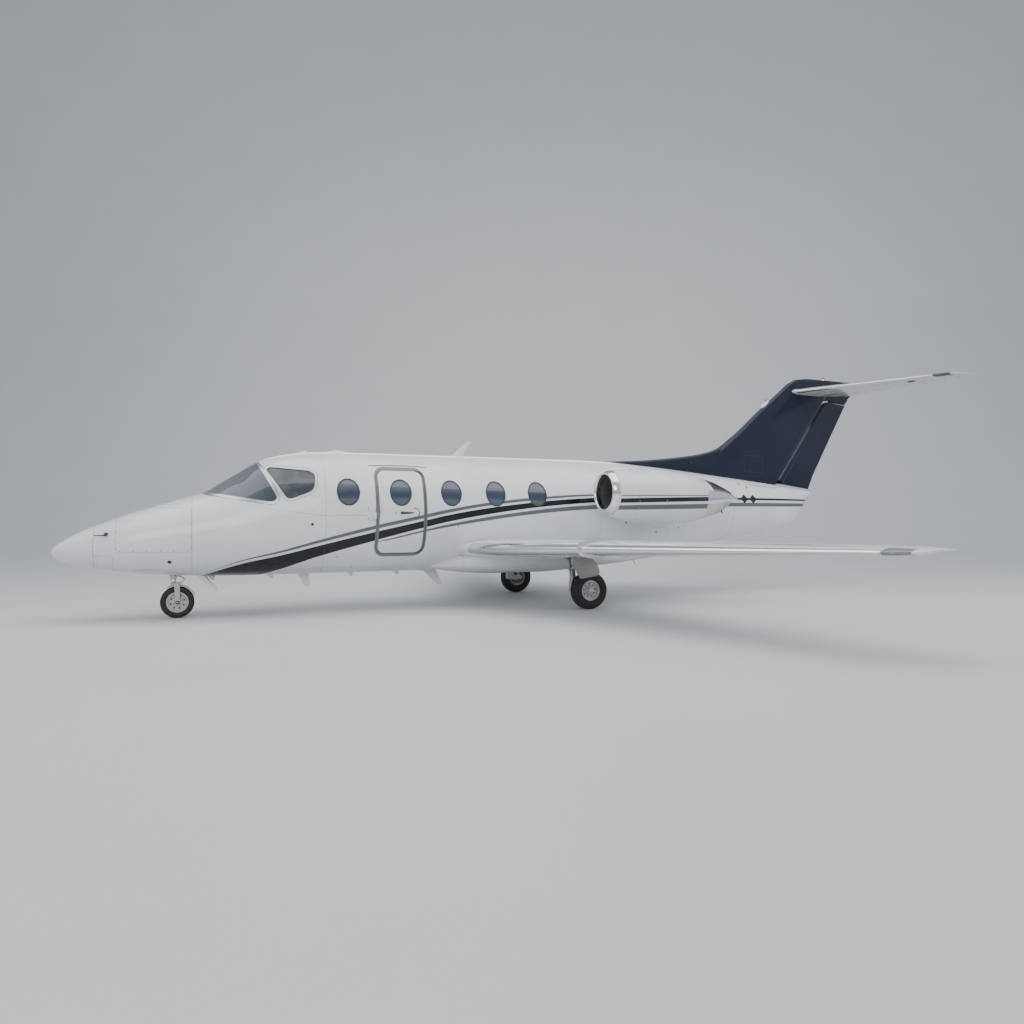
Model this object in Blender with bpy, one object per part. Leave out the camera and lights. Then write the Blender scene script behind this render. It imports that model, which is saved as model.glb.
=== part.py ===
"""A light twin-engined business jet, parked on its wheels. Run it with blender --background --python part.py.

Units are metres. +X points aft, +Y to starboard, +Z up, with the origin on the floor under the middle of
the aircraft's outline. Lengthwise places are stations, measured aft from the tip of the nose.
"""
import math

import bmesh
import bpy
from mathutils import Matrix, Vector

# Driving dimensions
LENGTH = 14.76            # nose tip to the tips of the tailplane
SEMI_SPAN = 6.625
TAIL_SEMI_SPAN = 2.50
WHEEL_BASE = 5.87
TRACK = 2.84
WALL = 0.06               # cabin wall: skin, frames and lining together
TAIL_WALL = 0.022
GAP = 0.0003              # between pieces that touch
CLEAR = 0.006             # between pieces that move past each other

NOSE_AXLE = 1.553         # station of the nose wheel
MAIN_AXLE = NOSE_AXLE + WHEEL_BASE
RADOME_END = 0.58
NOSE_END = 1.74
COCKPIT_END = 3.50
CABIN_END = 8.00
SIDES = 32                # facets round the fuselage
PORT, STARBOARD = -1, 1

# Fuselage sections: station, top, bottom, half width, height of the widest line, roundness of the top
FUSELAGE = (
    (0.00, 0.973, 0.957, 0.008, 0.965, 2.00),
    (0.05, 1.045, 0.870, 0.090, 0.960, 2.00),
    (0.20, 1.150, 0.808, 0.185, 0.975, 2.00),
    (0.40, 1.262, 0.752, 0.272, 0.995, 2.00),
    (0.58, 1.340, 0.708, 0.338, 1.012, 2.00),
    (0.95, 1.485, 0.655, 0.445, 1.050, 2.00),
    (1.33, 1.607, 0.617, 0.535, 1.100, 2.00),
    (1.74, 1.737, 0.592, 0.615, 1.160, 2.00),
    (1.91, 1.790, 0.587, 0.645, 1.190, 2.00),
    (2.10, 1.912, 0.583, 0.675, 1.225, 1.85),
    (2.32, 2.050, 0.580, 0.710, 1.270, 1.80),
    (2.56, 2.205, 0.578, 0.745, 1.320, 1.85),
    (2.74, 2.290, 0.577, 0.767, 1.355, 1.95),
    (2.95, 2.348, 0.576, 0.790, 1.395, 2.00),
    (3.20, 2.390, 0.575, 0.812, 1.440, 2.00),
    (3.50, 2.415, 0.575, 0.830, 1.480, 2.00),
    (4.00, 2.425, 0.575, 0.840, 1.500, 2.00),
    (6.00, 2.425, 0.575, 0.840, 1.500, 2.00),
    (8.00, 2.420, 0.580, 0.835, 1.500, 2.00),
    (8.60, 2.405, 0.600, 0.812, 1.500, 2.00),
    (9.30, 2.362, 0.665, 0.750, 1.510, 2.00),
    (10.20, 2.288, 0.812, 0.625, 1.550, 2.00),
    (11.00, 2.212, 0.968, 0.490, 1.600, 2.00),
    (12.00, 2.116, 1.126, 0.325, 1.650, 2.00),
    (12.93, 2.014, 1.335, 0.175, 1.700, 2.00),
    (13.10, 1.994, 1.600, 0.130, 1.800, 2.00),
    (13.36, 1.967, 1.930, 0.040, 1.948, 2.00),
)

# Belly fairing that carries the wing: station, top, bottom, half width
FAIRING = (
    (4.86, 0.700, 0.592, 0.360),
    (5.10, 0.800, 0.550, 0.600),
    (5.45, 0.960, 0.515, 0.800),
    (5.80, 1.070, 0.500, 0.890),
    (6.30, 1.115, 0.495, 0.925),
    (7.00, 1.090, 0.500, 0.930),
    (7.60, 1.040, 0.530, 0.905),
    (8.10, 0.960, 0.575, 0.830),
    (8.60, 0.880, 0.620, 0.690),
    (9.00, 0.800, 0.680, 0.480),
)
FAIRING_ROUNDNESS = 0.80

# Wing sections: distance out, leading edge station, chord, leading edge height, incidence in degrees, thickness
WING = (
    (0.600, 5.477, 2.475, 0.933, 3.0, 0.130),
    (2.900, 6.461, 1.805, 0.998, 1.0, 0.125),
    (6.450, 7.979, 0.770, 1.085, -2.5, 0.113),
    (6.580, 8.075, 0.640, 1.090, -2.5, 0.095),
    (6.625, 8.230, 0.440, 1.094, -2.5, 0.050),
)
AIRFOIL = ((0.0, 0.0), (0.0125, 0.32), (0.05, 0.60), (0.12, 0.82), (0.25, 0.98), (0.40, 0.99),
           (0.60, 0.78), (0.78, 0.46), (1.0, 0.035))   # share of chord, share of half thickness
CAMBER = 0.012

# Fin sections from the fuselage up: height, leading edge station, trailing edge station, half thickness
FIN = (
    (1.950, 10.20, 13.30, 0.105),
    (2.300, 10.55, 13.46, 0.105),
    (2.560, 10.90, 13.62, 0.100),
    (2.800, 11.13, 13.76, 0.095),
    (3.100, 11.53, 13.94, 0.088),
    (3.500, 12.00, 14.18, 0.080),
    (3.900, 12.52, 14.42, 0.074),
    (4.100, 12.76, 14.66, 0.070),
    (4.200, 12.96, 14.72, 0.058),
    (4.240, 13.25, 14.60, 0.030),
)
# Dorsal fillet ahead of the fin: station, top, half width
DORSAL = (
    (8.45, 2.414, 0.020),
    (9.30, 2.462, 0.040),
    (10.20, 2.556, 0.060),
    (10.70, 2.630, 0.075),
    (11.10, 2.790, 0.080),
)

# Tailplane sections: distance out, leading edge station, chord, leading edge height, incidence, thickness
TAILPLANE = (
    (0.000, 12.800, 1.560, 3.945, 0.0, 0.100),
    (2.350, 14.180, 0.560, 4.010, 0.0, 0.095),
    (2.470, 14.300, 0.440, 4.013, 0.0, 0.080),
    (2.500, 14.420, 0.340, 4.014, 0.0, 0.040),
)

# Windows and door, seen from the side: station and height of each corner
WINDSHIELD = ((1.935, 1.772), (2.700, 1.642), (2.800, 1.640), (2.855, 1.700), (2.620, 2.190),
              (2.550, 2.330), (1.800, 1.860))
SIDE_WINDOW = ((2.715, 2.105), (2.760, 2.150), (3.300, 2.098), (3.370, 2.040), (3.345, 1.850),
               (3.290, 1.795), (3.050, 1.695), (2.975, 1.690))
CABIN_WINDOWS = (3.820, 4.595, 5.385, 6.115, 6.835)
WINDOW_HEIGHT, WINDOW_HALF_LENGTH, WINDOW_HALF_HEIGHT = 1.794, 0.158, 0.192
DOOR = (4.240, 4.950, 0.885, 2.125)                # forward, aft, sill and head
DOOR_AFT_GAP = 0.014
DOOR_SKIN = 0.015
DOOR_LAND = 0.050
HINGE_STATION, HINGE_OUT, HINGE_RADIUS = 4.235, 0.862, 0.013

# Engines
ENGINE_OUT, ENGINE_HEIGHT = 1.320, 1.800
FAN_STATION, FAN_RADIUS, DUCT_RADIUS = 8.130, 0.258, 0.268
FAN_BLADES, FAN_TWIST = 12, 48
# Nacelle skin: station, half width, top, foot. Duct: station, half width, top, foot, from the back forward.
NACELLE_OUTSIDE = (
    (7.740, 0.300, 2.132, 1.532),
    (7.765, 0.330, 2.158, 1.500),
    (7.880, 0.368, 2.192, 1.440),
    (8.150, 0.402, 2.215, 1.370),
    (8.550, 0.418, 2.212, 1.322),
    (9.000, 0.412, 2.186, 1.310),
    (9.300, 0.388, 2.150, 1.330),
    (9.520, 0.352, 2.090, 1.372),
)
NACELLE_INSIDE = (
    (9.520, 0.275, 2.040, 1.490),
    (9.200, 0.270, 2.065, 1.525),
    (8.100, DUCT_RADIUS, 2.068, 1.532),
    (7.900, 0.262, 2.069, 1.545),
    (7.780, 0.270, 2.096, 1.556),
    (7.745, 0.283, 2.114, 1.548),
)
NOZZLE_OUTSIDE = (
    (9.5203, 0.348, 2.084, 1.376),
    (9.750, 0.300, 2.043, 1.432),
    (10.000, 0.240, 1.953, 1.508),
    (10.150, 0.180, 1.885, 1.620),
)
NOZZLE_INSIDE = (
    (10.150, 0.162, 1.867, 1.640),
    (10.000, 0.215, 1.928, 1.535),
    (9.750, 0.262, 2.005, 1.475),
    (9.5203, 0.270, 2.035, 1.495),
)
# Pointed fairing on each side of the nozzle: station, how far out of the middle it starts and ends, foot, top
NOZZLE_FAIRING = (
    (9.5203, 0.300, 0.350, -0.170, 0.062),
    (9.720, 0.280, 0.335, -0.152, 0.063),
    (9.941, 0.235, 0.300, -0.131, 0.050),
    (10.150, 0.172, 0.262, -0.112, -0.020),
    (10.300, 0.190, 0.217, -0.102, -0.090),
)

# Wheels and legs
NOSE_TYRE, NOSE_TYRE_HALF, NOSE_RIM = 0.225, 0.056, 0.145
MAIN_TYRE, MAIN_TYRE_HALF, MAIN_RIM = 0.290, 0.097, 0.155
LEG_DOOR = ((7.062, 0.808), (7.395, 0.814), (7.494, 0.723), (7.562, 0.577), (7.514, 0.519), (7.208, 0.480))


def x(station):
    return station - LENGTH / 2


def clear_scene():
    for obj in list(bpy.data.objects):
        bpy.data.objects.remove(obj, do_unlink=True)


def collection(name):
    made = bpy.data.collections.new(name)
    bpy.context.scene.collection.children.link(made)
    return made


def material(name, colour, roughness, metallic=0.0):
    made = bpy.data.materials.new(name)
    made.use_nodes = True
    shader = made.node_tree.nodes["Principled BSDF"]
    shader.inputs["Base Color"].default_value = (*colour, 1.0)
    shader.inputs["Roughness"].default_value = roughness
    shader.inputs["Metallic"].default_value = metallic
    return made


clear_scene()
PARTS = collection("business_jet")
CUTTERS = collection("cutters")
WHITE = material("white_paint", (0.80, 0.82, 0.84), 0.18)
NAVY = material("navy_paint", (0.012, 0.018, 0.045), 0.15)
POLISHED = material("polished_metal", (0.80, 0.80, 0.80), 0.12, 1.0)
STEEL = material("leg_steel", (0.45, 0.45, 0.46), 0.35, 1.0)
RUBBER = material("rubber", (0.02, 0.02, 0.022), 0.8)
GLASS = material("glass", (0.10, 0.13, 0.17), 0.05)
CLOTH = material("seat_leather", (0.35, 0.30, 0.24), 0.6)
TRIM = material("cabin_trim", (0.55, 0.52, 0.47), 0.6)
DARK = material("dark_metal", (0.08, 0.08, 0.09), 0.4, 0.6)


def add(name, mesh, finish, cutter=False):
    """An object from a mesh; a cutter goes in its own collection and isn't part of the aircraft."""
    obj = bpy.data.objects.new(name, mesh)
    (CUTTERS if cutter else PARTS).objects.link(obj)
    if cutter:
        obj.hide_render = True
        obj.display_type = "WIRE"
    else:
        mesh.materials.append(finish)
        mesh.shade_smooth()
        mesh.set_sharp_from_angle(angle=math.radians(35))
    return obj


def mesh_of(bm, name):
    quads = [face for face in bm.faces if len(face.verts) == 4]
    bmesh.ops.triangulate(bm, faces=quads, quad_method="FIXED")   # so that nested lofts run parallel
    bmesh.ops.recalc_face_normals(bm, faces=bm.faces)
    mesh = bpy.data.meshes.new(name)
    bm.to_mesh(mesh)
    bm.free()
    return mesh


def skin(bm, first, second):
    """Quads between two closed rings of as many points."""
    count = len(first)
    for i in range(count):
        bm.faces.new((first[i], first[(i + 1) % count], second[(i + 1) % count], second[i]))


def loft(name, rings, finish=None):
    """A closed solid through rings of as many points each, capped at both ends."""
    bm = bmesh.new()
    rows = [[bm.verts.new(point) for point in ring] for ring in rings]
    for first, second in zip(rows, rows[1:]):
        skin(bm, first, second)
    bm.faces.new(rows[0])
    bm.faces.new(rows[-1])
    return add(name, mesh_of(bm, name), finish, cutter=finish is None)


def tube_loft(name, outer, inner, finish):
    """A hollow solid, open at both ends, between an outer and an inner row of rings."""
    bm = bmesh.new()
    outside = [[bm.verts.new(point) for point in ring] for ring in outer]
    inside = [[bm.verts.new(point) for point in ring] for ring in inner]
    for rows in (outside, inside):
        for first, second in zip(rows, rows[1:]):
            skin(bm, first, second)
    skin(bm, outside[0], inside[0])
    skin(bm, outside[-1], inside[-1])
    return add(name, mesh_of(bm, name), finish)


def cup_loft(name, outer, inner, finish, mouth=0):
    """A hollow solid, open at one end only: its first (0) or its last (-1)."""
    bm = bmesh.new()
    outside = [[bm.verts.new(point) for point in ring] for ring in outer]
    inside = [[bm.verts.new(point) for point in ring] for ring in inner]
    for rows in (outside, inside):
        for first, second in zip(rows, rows[1:]):
            skin(bm, first, second)
        bm.faces.new(rows[-1 - mouth])
    skin(bm, outside[mouth], inside[mouth])
    return add(name, mesh_of(bm, name), finish)


def box(name, low, high, finish=None):
    """A box between two corners, each given as station, y and z."""
    bm = bmesh.new()
    bmesh.ops.create_cube(bm, size=1.0)
    size = Vector(high) - Vector(low)
    bmesh.ops.scale(bm, vec=size, verts=bm.verts)
    centre = (Vector(high) + Vector(low)) / 2
    bmesh.ops.translate(bm, vec=(x(centre.x), centre.y, centre.z), verts=bm.verts)
    return add(name, mesh_of(bm, name), finish, cutter=finish is None)


def rod(name, start, end, radius, finish=None, sides=12, end_radius=None):
    """A round bar between two points, each given as station, y and z."""
    a, b = Vector(start), Vector(end)
    a.x, b.x = x(a.x), x(b.x)
    along = b - a
    bm = bmesh.new()
    bmesh.ops.create_cone(bm, cap_ends=True, segments=sides, radius1=radius,
                          radius2=radius if end_radius is None else end_radius, depth=along.length)
    turn = Vector((0, 0, 1)).rotation_difference(along.normalized()).to_matrix().to_4x4()
    bm.transform(Matrix.Translation((a + b) / 2) @ turn)
    return add(name, mesh_of(bm, name), finish, cutter=finish is None)


def prism(name, outline, low, high, finish=None):
    """A side-view outline of (station, height) corners, carried sideways from y = low to y = high."""
    rings = [[(x(station), y, z) for station, z in outline] for y in (low, high)]
    return loft(name, rings, finish)


def revolve(name, profile, origin, axis, sides, finish=None):
    """A closed outline of (distance along, radius) corners turned round an axis through origin."""
    bm = bmesh.new()
    turn = Vector((0, 0, 1)).rotation_difference(Vector(axis)).to_matrix()
    rows = []
    for i in range(sides):
        angle = 2 * math.pi * i / sides
        around = Vector((math.cos(angle), math.sin(angle), 0))
        rows.append([bm.verts.new(Vector(origin) + turn @ (around * radius + Vector((0, 0, along))))
                     for along, radius in profile])
    for first, second in zip(rows, rows[1:] + rows[:1]):
        skin(bm, first, second)
    return add(name, mesh_of(bm, name), finish, cutter=finish is None)


def boolean(obj, other, operation):
    change = obj.modifiers.new(operation.lower(), "BOOLEAN")
    change.operation = operation
    change.object = other
    change.solver = "EXACT"
    return obj


def cut(obj, *others):
    for other in others:
        boolean(obj, other, "DIFFERENCE")
    return obj


def join(obj, *others):
    for other in others:
        boolean(obj, other, "UNION")
    return obj


def keep(obj, other):
    return boolean(obj, other, "INTERSECT")


def blended(table, at):
    """The row of a table at one value of its first column, between the rows either side."""
    for low, high in zip(table, table[1:]):
        if low[0] <= at <= high[0]:
            share = (at - low[0]) / (high[0] - low[0])
            return [a + (b - a) * share for a, b in zip(low, high)]
    return list(table[0] if at < table[0][0] else table[-1])


def ring_of(station, inset=0.0, shift=0.0):
    """One fuselage section, drawn in by inset and moved along by shift."""
    _, top, bottom, half, wide, power = blended(FUSELAGE, station)
    points = []
    for i in range(SIDES):
        angle = 2 * math.pi * i / SIDES
        across, up = math.cos(angle), math.sin(angle)
        shape = 2 / (power if up > 0 else 2.0)
        rise = (top - inset - wide) if up > 0 else (wide - bottom - inset)
        points.append((x(station + shift), (half - inset) * math.copysign(abs(across) ** shape, across),
                       wide + rise * math.copysign(abs(up) ** shape, up)))
    return points


def fuselage_rings(start, end, inset=0.0, trim=GAP / 2):
    """Sections from one station to another, ended short by trim at both ends."""
    stations = [start] + [row[0] for row in FUSELAGE if start < row[0] < end] + [end]
    shifts = [trim] + [0.0] * (len(stations) - 2) + [-trim]
    return [ring_of(station, inset, shift) for station, shift in zip(stations, shifts)]


def ellipse(centre_x, centre_z, half_x, half_z, corners=16):
    return [(centre_x + half_x * math.cos(2 * math.pi * i / corners),
             centre_z + half_z * math.sin(2 * math.pi * i / corners)) for i in range(corners)]


def shrunk(outline, by):
    """An outline drawn in towards its middle by about the given distance."""
    mid_x = sum(p[0] for p in outline) / len(outline)
    mid_z = sum(p[1] for p in outline) / len(outline)
    made = []
    for px, pz in outline:
        reach = math.hypot(px - mid_x, pz - mid_z)
        share = 1 - by / reach
        made.append((mid_x + (px - mid_x) * share, mid_z + (pz - mid_z) * share))
    return made


def rounded(low_x, high_x, low_z, high_z, radius, steps=4):
    """A rectangle with round corners, as corners in order."""
    made = []
    for cx, cz, start in ((high_x, high_z, 0), (low_x, high_z, 90), (low_x, low_z, 180), (high_x, low_z, 270)):
        centre_x = cx - math.copysign(radius, cx - (low_x + high_x) / 2)
        centre_z = cz - math.copysign(radius, cz - (low_z + high_z) / 2)
        for i in range(steps + 1):
            angle = math.radians(start + 90 * i / steps)
            made.append((centre_x + radius * math.cos(angle), centre_z + radius * math.sin(angle)))
    return made


def side_span(side, near, far):
    """y from near to far out on one side, lowest first."""
    return sorted((side * near, side * far))


def fuselage_envelope(name, start, end, grow=GAP):
    return loft(name, fuselage_rings(start, end, -grow, 0.0))


# Fuselage, from the nose aft
radome = loft("radome", fuselage_rings(0.0, RADOME_END, 0.0, 0.0)[:-1] + [ring_of(RADOME_END, 0.0, -GAP / 2)],
              WHITE)

nose_section = loft("nose_section", fuselage_rings(RADOME_END, NOSE_END), WHITE)
nose_well = box("nose_well", (1.270, -0.125, 0.40), (1.700, 0.125, 1.000))
cut(nose_section, nose_well)


cockpit_outer = fuselage_rings(NOSE_END, COCKPIT_END)
cockpit_inner = fuselage_rings(NOSE_END + WALL, COCKPIT_END, WALL)
cockpit_shell = cup_loft("cockpit_shell", cockpit_outer, cockpit_inner, WHITE, -1)

cabin_outer = fuselage_rings(COCKPIT_END, CABIN_END)
cabin_inner = fuselage_rings(COCKPIT_END, CABIN_END - WALL, WALL)
cabin_shell = cup_loft("cabin_shell", cabin_outer, cabin_inner, WHITE)

tail_outer = fuselage_rings(CABIN_END, 13.36, 0.0)
tail_inner = fuselage_rings(CABIN_END, 12.60, TAIL_WALL)
tail_section = cup_loft("tail_section", tail_outer, tail_inner, WHITE)


def window(name, shell, outline, side, start, end, thick=0.03):
    """Cut one side window through a shell and fill it with a pane that follows the skin."""
    near, far = side_span(side, 0.02, 1.20)
    hole = prism(name + "_hole", outline, near, far)
    cut(shell, hole)
    pane = tube_loft(name, fuselage_rings(start, end), fuselage_rings(start, end, thick), GLASS)
    keep(pane, prism(name + "_edge", shrunk(outline, 3 * GAP), near, far))
    return pane


for side, word in ((PORT, "left"), (STARBOARD, "right")):
    window("windshield_" + word, cockpit_shell, WINDSHIELD, side, 1.78, 3.00)
    window("side_window_" + word, cockpit_shell, SIDE_WINDOW, side, 2.50, 3.46)

for number, station in enumerate(CABIN_WINDOWS, 1):
    outline = ellipse(station, WINDOW_HEIGHT, WINDOW_HALF_LENGTH, WINDOW_HALF_HEIGHT)
    for side, word in ((PORT, "left"), (STARBOARD, "right")):
        if not (number == 2 and side == PORT):
            window("cabin_window_%s_%d" % (word, number), cabin_shell, outline, side,
                   station - 0.20, station + 0.20)

# Cabin door: a curved panel on a vertical hinge at its forward edge, closing on a land round the doorway
DOOR_OUTLINE = rounded(DOOR[0], DOOR[1], DOOR[2], DOOR[3], 0.13)


def skin_out(station, height, inset=0.0):
    """How far out the fuselage's side is at a station and height."""
    _, top, bottom, half, wide, power = blended(FUSELAGE, station)
    rise = (top - wide - inset) if height > wide else (wide - bottom - inset)
    up = min(1.0, abs(height - wide) / rise)
    shape = power if height > wide else 2.0
    return (half - inset) * (1 - up ** shape) ** (1 / shape)


def door_recess(corner):
    """Where the opening's edge has to be for one corner of the door's outline to swing past it."""
    station, height = corner
    middle = (DOOR[2] + DOOR[3]) / 2
    raised = height + math.copysign(CLEAR, height - middle)
    if station < (DOOR[0] + DOOR[1]) / 2:
        return station - CLEAR, raised
    inboard = HINGE_OUT - skin_out(station, raised, DOOR_SKIN)
    reach = math.hypot(station - HINGE_STATION, inboard)
    return HINGE_STATION + reach + CLEAR, raised


recess_outline = [door_recess(corner) for corner in DOOR_OUTLINE]
doorway = rounded(DOOR[0] + DOOR_LAND, DOOR[1] - DOOR_LAND, DOOR[2] + 0.02, DOOR[3] - DOOR_LAND, 0.09)
recess_ring = tube_loft("door_recess", fuselage_rings(4.0, 5.3, -0.02),
                        fuselage_rings(4.0, 5.3, DOOR_SKIN + CLEAR), WHITE)
CUTTERS.objects.link(recess_ring)
PARTS.objects.unlink(recess_ring)
recess_ring.hide_render = True
recess_ring.display_type = "WIRE"
keep(recess_ring, prism("door_recess_edge", recess_outline, -1.2, -0.1))
cut(cabin_shell, recess_ring, prism("doorway", doorway, -1.2, -0.1))

cabin_door = tube_loft("cabin_door", fuselage_rings(4.0, 5.3), fuselage_rings(4.0, 5.3, DOOR_SKIN), WHITE)
keep(cabin_door, prism("door_edge", DOOR_OUTLINE, -1.2, -0.1))
door_window_outline = ellipse(CABIN_WINDOWS[1], WINDOW_HEIGHT, WINDOW_HALF_LENGTH, WINDOW_HALF_HEIGHT)
door_window = window("door_window", cabin_door, door_window_outline, PORT, 4.38, 4.81, DOOR_SKIN)
fixed_knuckle = rod("fixed_knuckle", (HINGE_STATION, -HINGE_OUT, 1.40), (HINGE_STATION, -HINGE_OUT, 1.50),
                    HINGE_RADIUS)
fixed_leaf = box("fixed_leaf", (HINGE_STATION - 0.060, -HINGE_OUT - 0.006, 1.40), (HINGE_STATION, -0.815, 1.50))
door_knuckle = rod("door_knuckle", (HINGE_STATION, -HINGE_OUT, 1.50 + GAP), (HINGE_STATION, -HINGE_OUT, 1.60),
                   HINGE_RADIUS)
door_leaf = box("door_leaf", (HINGE_STATION, -HINGE_OUT - 0.006, 1.50 + GAP),
                (HINGE_STATION + 0.060, -0.832, 1.60))
join(cabin_shell, fixed_knuckle, fixed_leaf)
join(cabin_door, door_knuckle, door_leaf)

# Cabin floor with its seats, and the instrument panel
FLOOR = 0.885
cabin_floor = box("cabin_floor", (2.000, -0.70, FLOOR - 0.040), (7.900, 0.70, FLOOR), CLOTH)
SEATS = ((2.950, 0.36, 1), (4.95, 0.38, -1), (6.00, 0.38, 1), (6.95, 0.38, 1))   # station, out, way it faces
for station, out, facing in SEATS:
    for side in (PORT, STARBOARD):
        if station == 4.95 and side == PORT:
            continue
        name = "seat_%d_%d" % (station * 10, side)
        low, high = side_span(side, out - 0.20, out + 0.20)
        cushion = box(name + "_cushion", (station - 0.24, low, FLOOR - 0.02), (station + 0.24, high, FLOOR + 0.38))
        back = station + facing * 0.22
        rest = box(name + "_rest", (back - 0.06, low + 0.02, FLOOR + 0.20), (back + 0.06, high - 0.02, FLOOR + 0.95))
        join(cabin_floor, cushion, rest)
inner_room = fuselage_rings(NOSE_END + WALL, CABIN_END - WALL, WALL + GAP)
keep(cabin_floor, loft("inner_room", inner_room))

instrument_panel = box("instrument_panel", (2.150, -0.50, 1.240), (2.320, 0.50, 1.600), DARK)
pedestal = box("pedestal", (2.200, -0.13, FLOOR + GAP), (2.560, 0.13, 1.300))
join(instrument_panel, pedestal)
keep(instrument_panel, loft("panel_room", fuselage_rings(1.95, 2.90, WALL + 0.02)))


# Belly fairing and wings
def fairing_ring(station, grow=0.0):
    _, top, bottom, half = blended(FAIRING, station)
    middle = (top + bottom) / 2
    rise = (top - bottom) / 2 + grow
    points = []
    for i in range(24):
        angle = 2 * math.pi * i / 24
        across, up = math.cos(angle), math.sin(angle)
        points.append((x(station), (half + grow) * math.copysign(abs(across) ** FAIRING_ROUNDNESS, across),
                       middle + rise * math.copysign(abs(up) ** FAIRING_ROUNDNESS, up)))
    return points


belly_fairing = loft("belly_fairing", [fairing_ring(row[0]) for row in FAIRING], WHITE)
fuselage_shape = fuselage_envelope("fuselage_shape", 4.30, 9.60)
cut(belly_fairing, fuselage_shape)
fairing_shape = loft("fairing_shape", [fairing_ring(row[0], GAP) for row in FAIRING])


def skin_point(table, side, out, share, upper):
    """A point on a wing's skin, at a distance out and a share of the chord."""
    _, edge, chord, height, incidence, thickness = blended(table, out)
    for low, high in zip(AIRFOIL, AIRFOIL[1:]):
        if low[0] <= share <= high[0]:
            half = low[1] + (high[1] - low[1]) * (share - low[0]) / (high[0] - low[0])
    rise = half * thickness * chord / 2 * (1 if upper else -1) + CAMBER * 4 * share * (1 - share) * chord
    turn = math.radians(incidence)
    return Vector((x(edge) + share * chord * math.cos(turn) + rise * math.sin(turn), side * out,
                   height - share * chord * math.sin(turn) + rise * math.cos(turn)))


def wing_ring(table, side, out):
    upper = [skin_point(table, side, out, share, True) for share, _ in reversed(AIRFOIL)]
    lower = [skin_point(table, side, out, share, False) for share, _ in AIRFOIL[1:]]
    return upper + lower


def axis_prism(name, start, end, outline, low, high, upward=(0, 0, 1), finish=None):
    """An outline of (aft, up) offsets from an axis, carried along the axis from low to high metres."""
    start, end = Vector(start), Vector(end)
    along = (end - start).normalized()
    aft = (Vector((1, 0, 0)) - along * along.x).normalized()
    up = along.cross(aft)
    if up.dot(Vector(upward)) < 0:
        up.negate()
    rings = [[start + along * at + aft * a + up * b for a, b in outline] for at in (low, high)]
    return loft(name, rings, finish)


def axis_rod(name, start, end, low, high, radius, end_radius=None, sides=16):
    start, end = Vector(start), Vector(end)
    along = (end - start).normalized()
    a, b = start + along * low, start + along * high
    shift = Vector((LENGTH / 2, 0, 0))
    return rod(name, a + shift, b + shift, radius, None, sides, end_radius)


def lugs(name, fixed, moving, start, end, places, reach, radius, notch, upward=(0, 0, 1)):
    """Hinges along an axis: a lug on the fixed piece between two pins on the moving one, in a notch."""
    for number, place in enumerate(places):
        tag = "%s_%d" % (name, number)
        half = 0.015
        cut(moving, axis_rod(tag + "_notch", start, end, place - half - CLEAR, place + half + CLEAR, notch))
        pin = radius * 0.45
        join(moving,
             axis_rod(tag + "_pin_a", start, end, place - half - 0.03, place - half - GAP, pin),
             axis_rod(tag + "_pin_b", start, end, place + half + GAP, place + half + 0.03, pin))
        arm = axis_prism(tag + "_arm", start, end, ((-reach, -0.55 * radius), (0.0, -0.55 * radius),
                                                    (0.0, 0.55 * radius), (-reach, 0.55 * radius)),
                         place - half + 0.001, place + half - 0.001, upward)
        join(fixed, arm, axis_rod(tag + "_eye", start, end, place - half, place + half, radius * 0.9))


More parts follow.
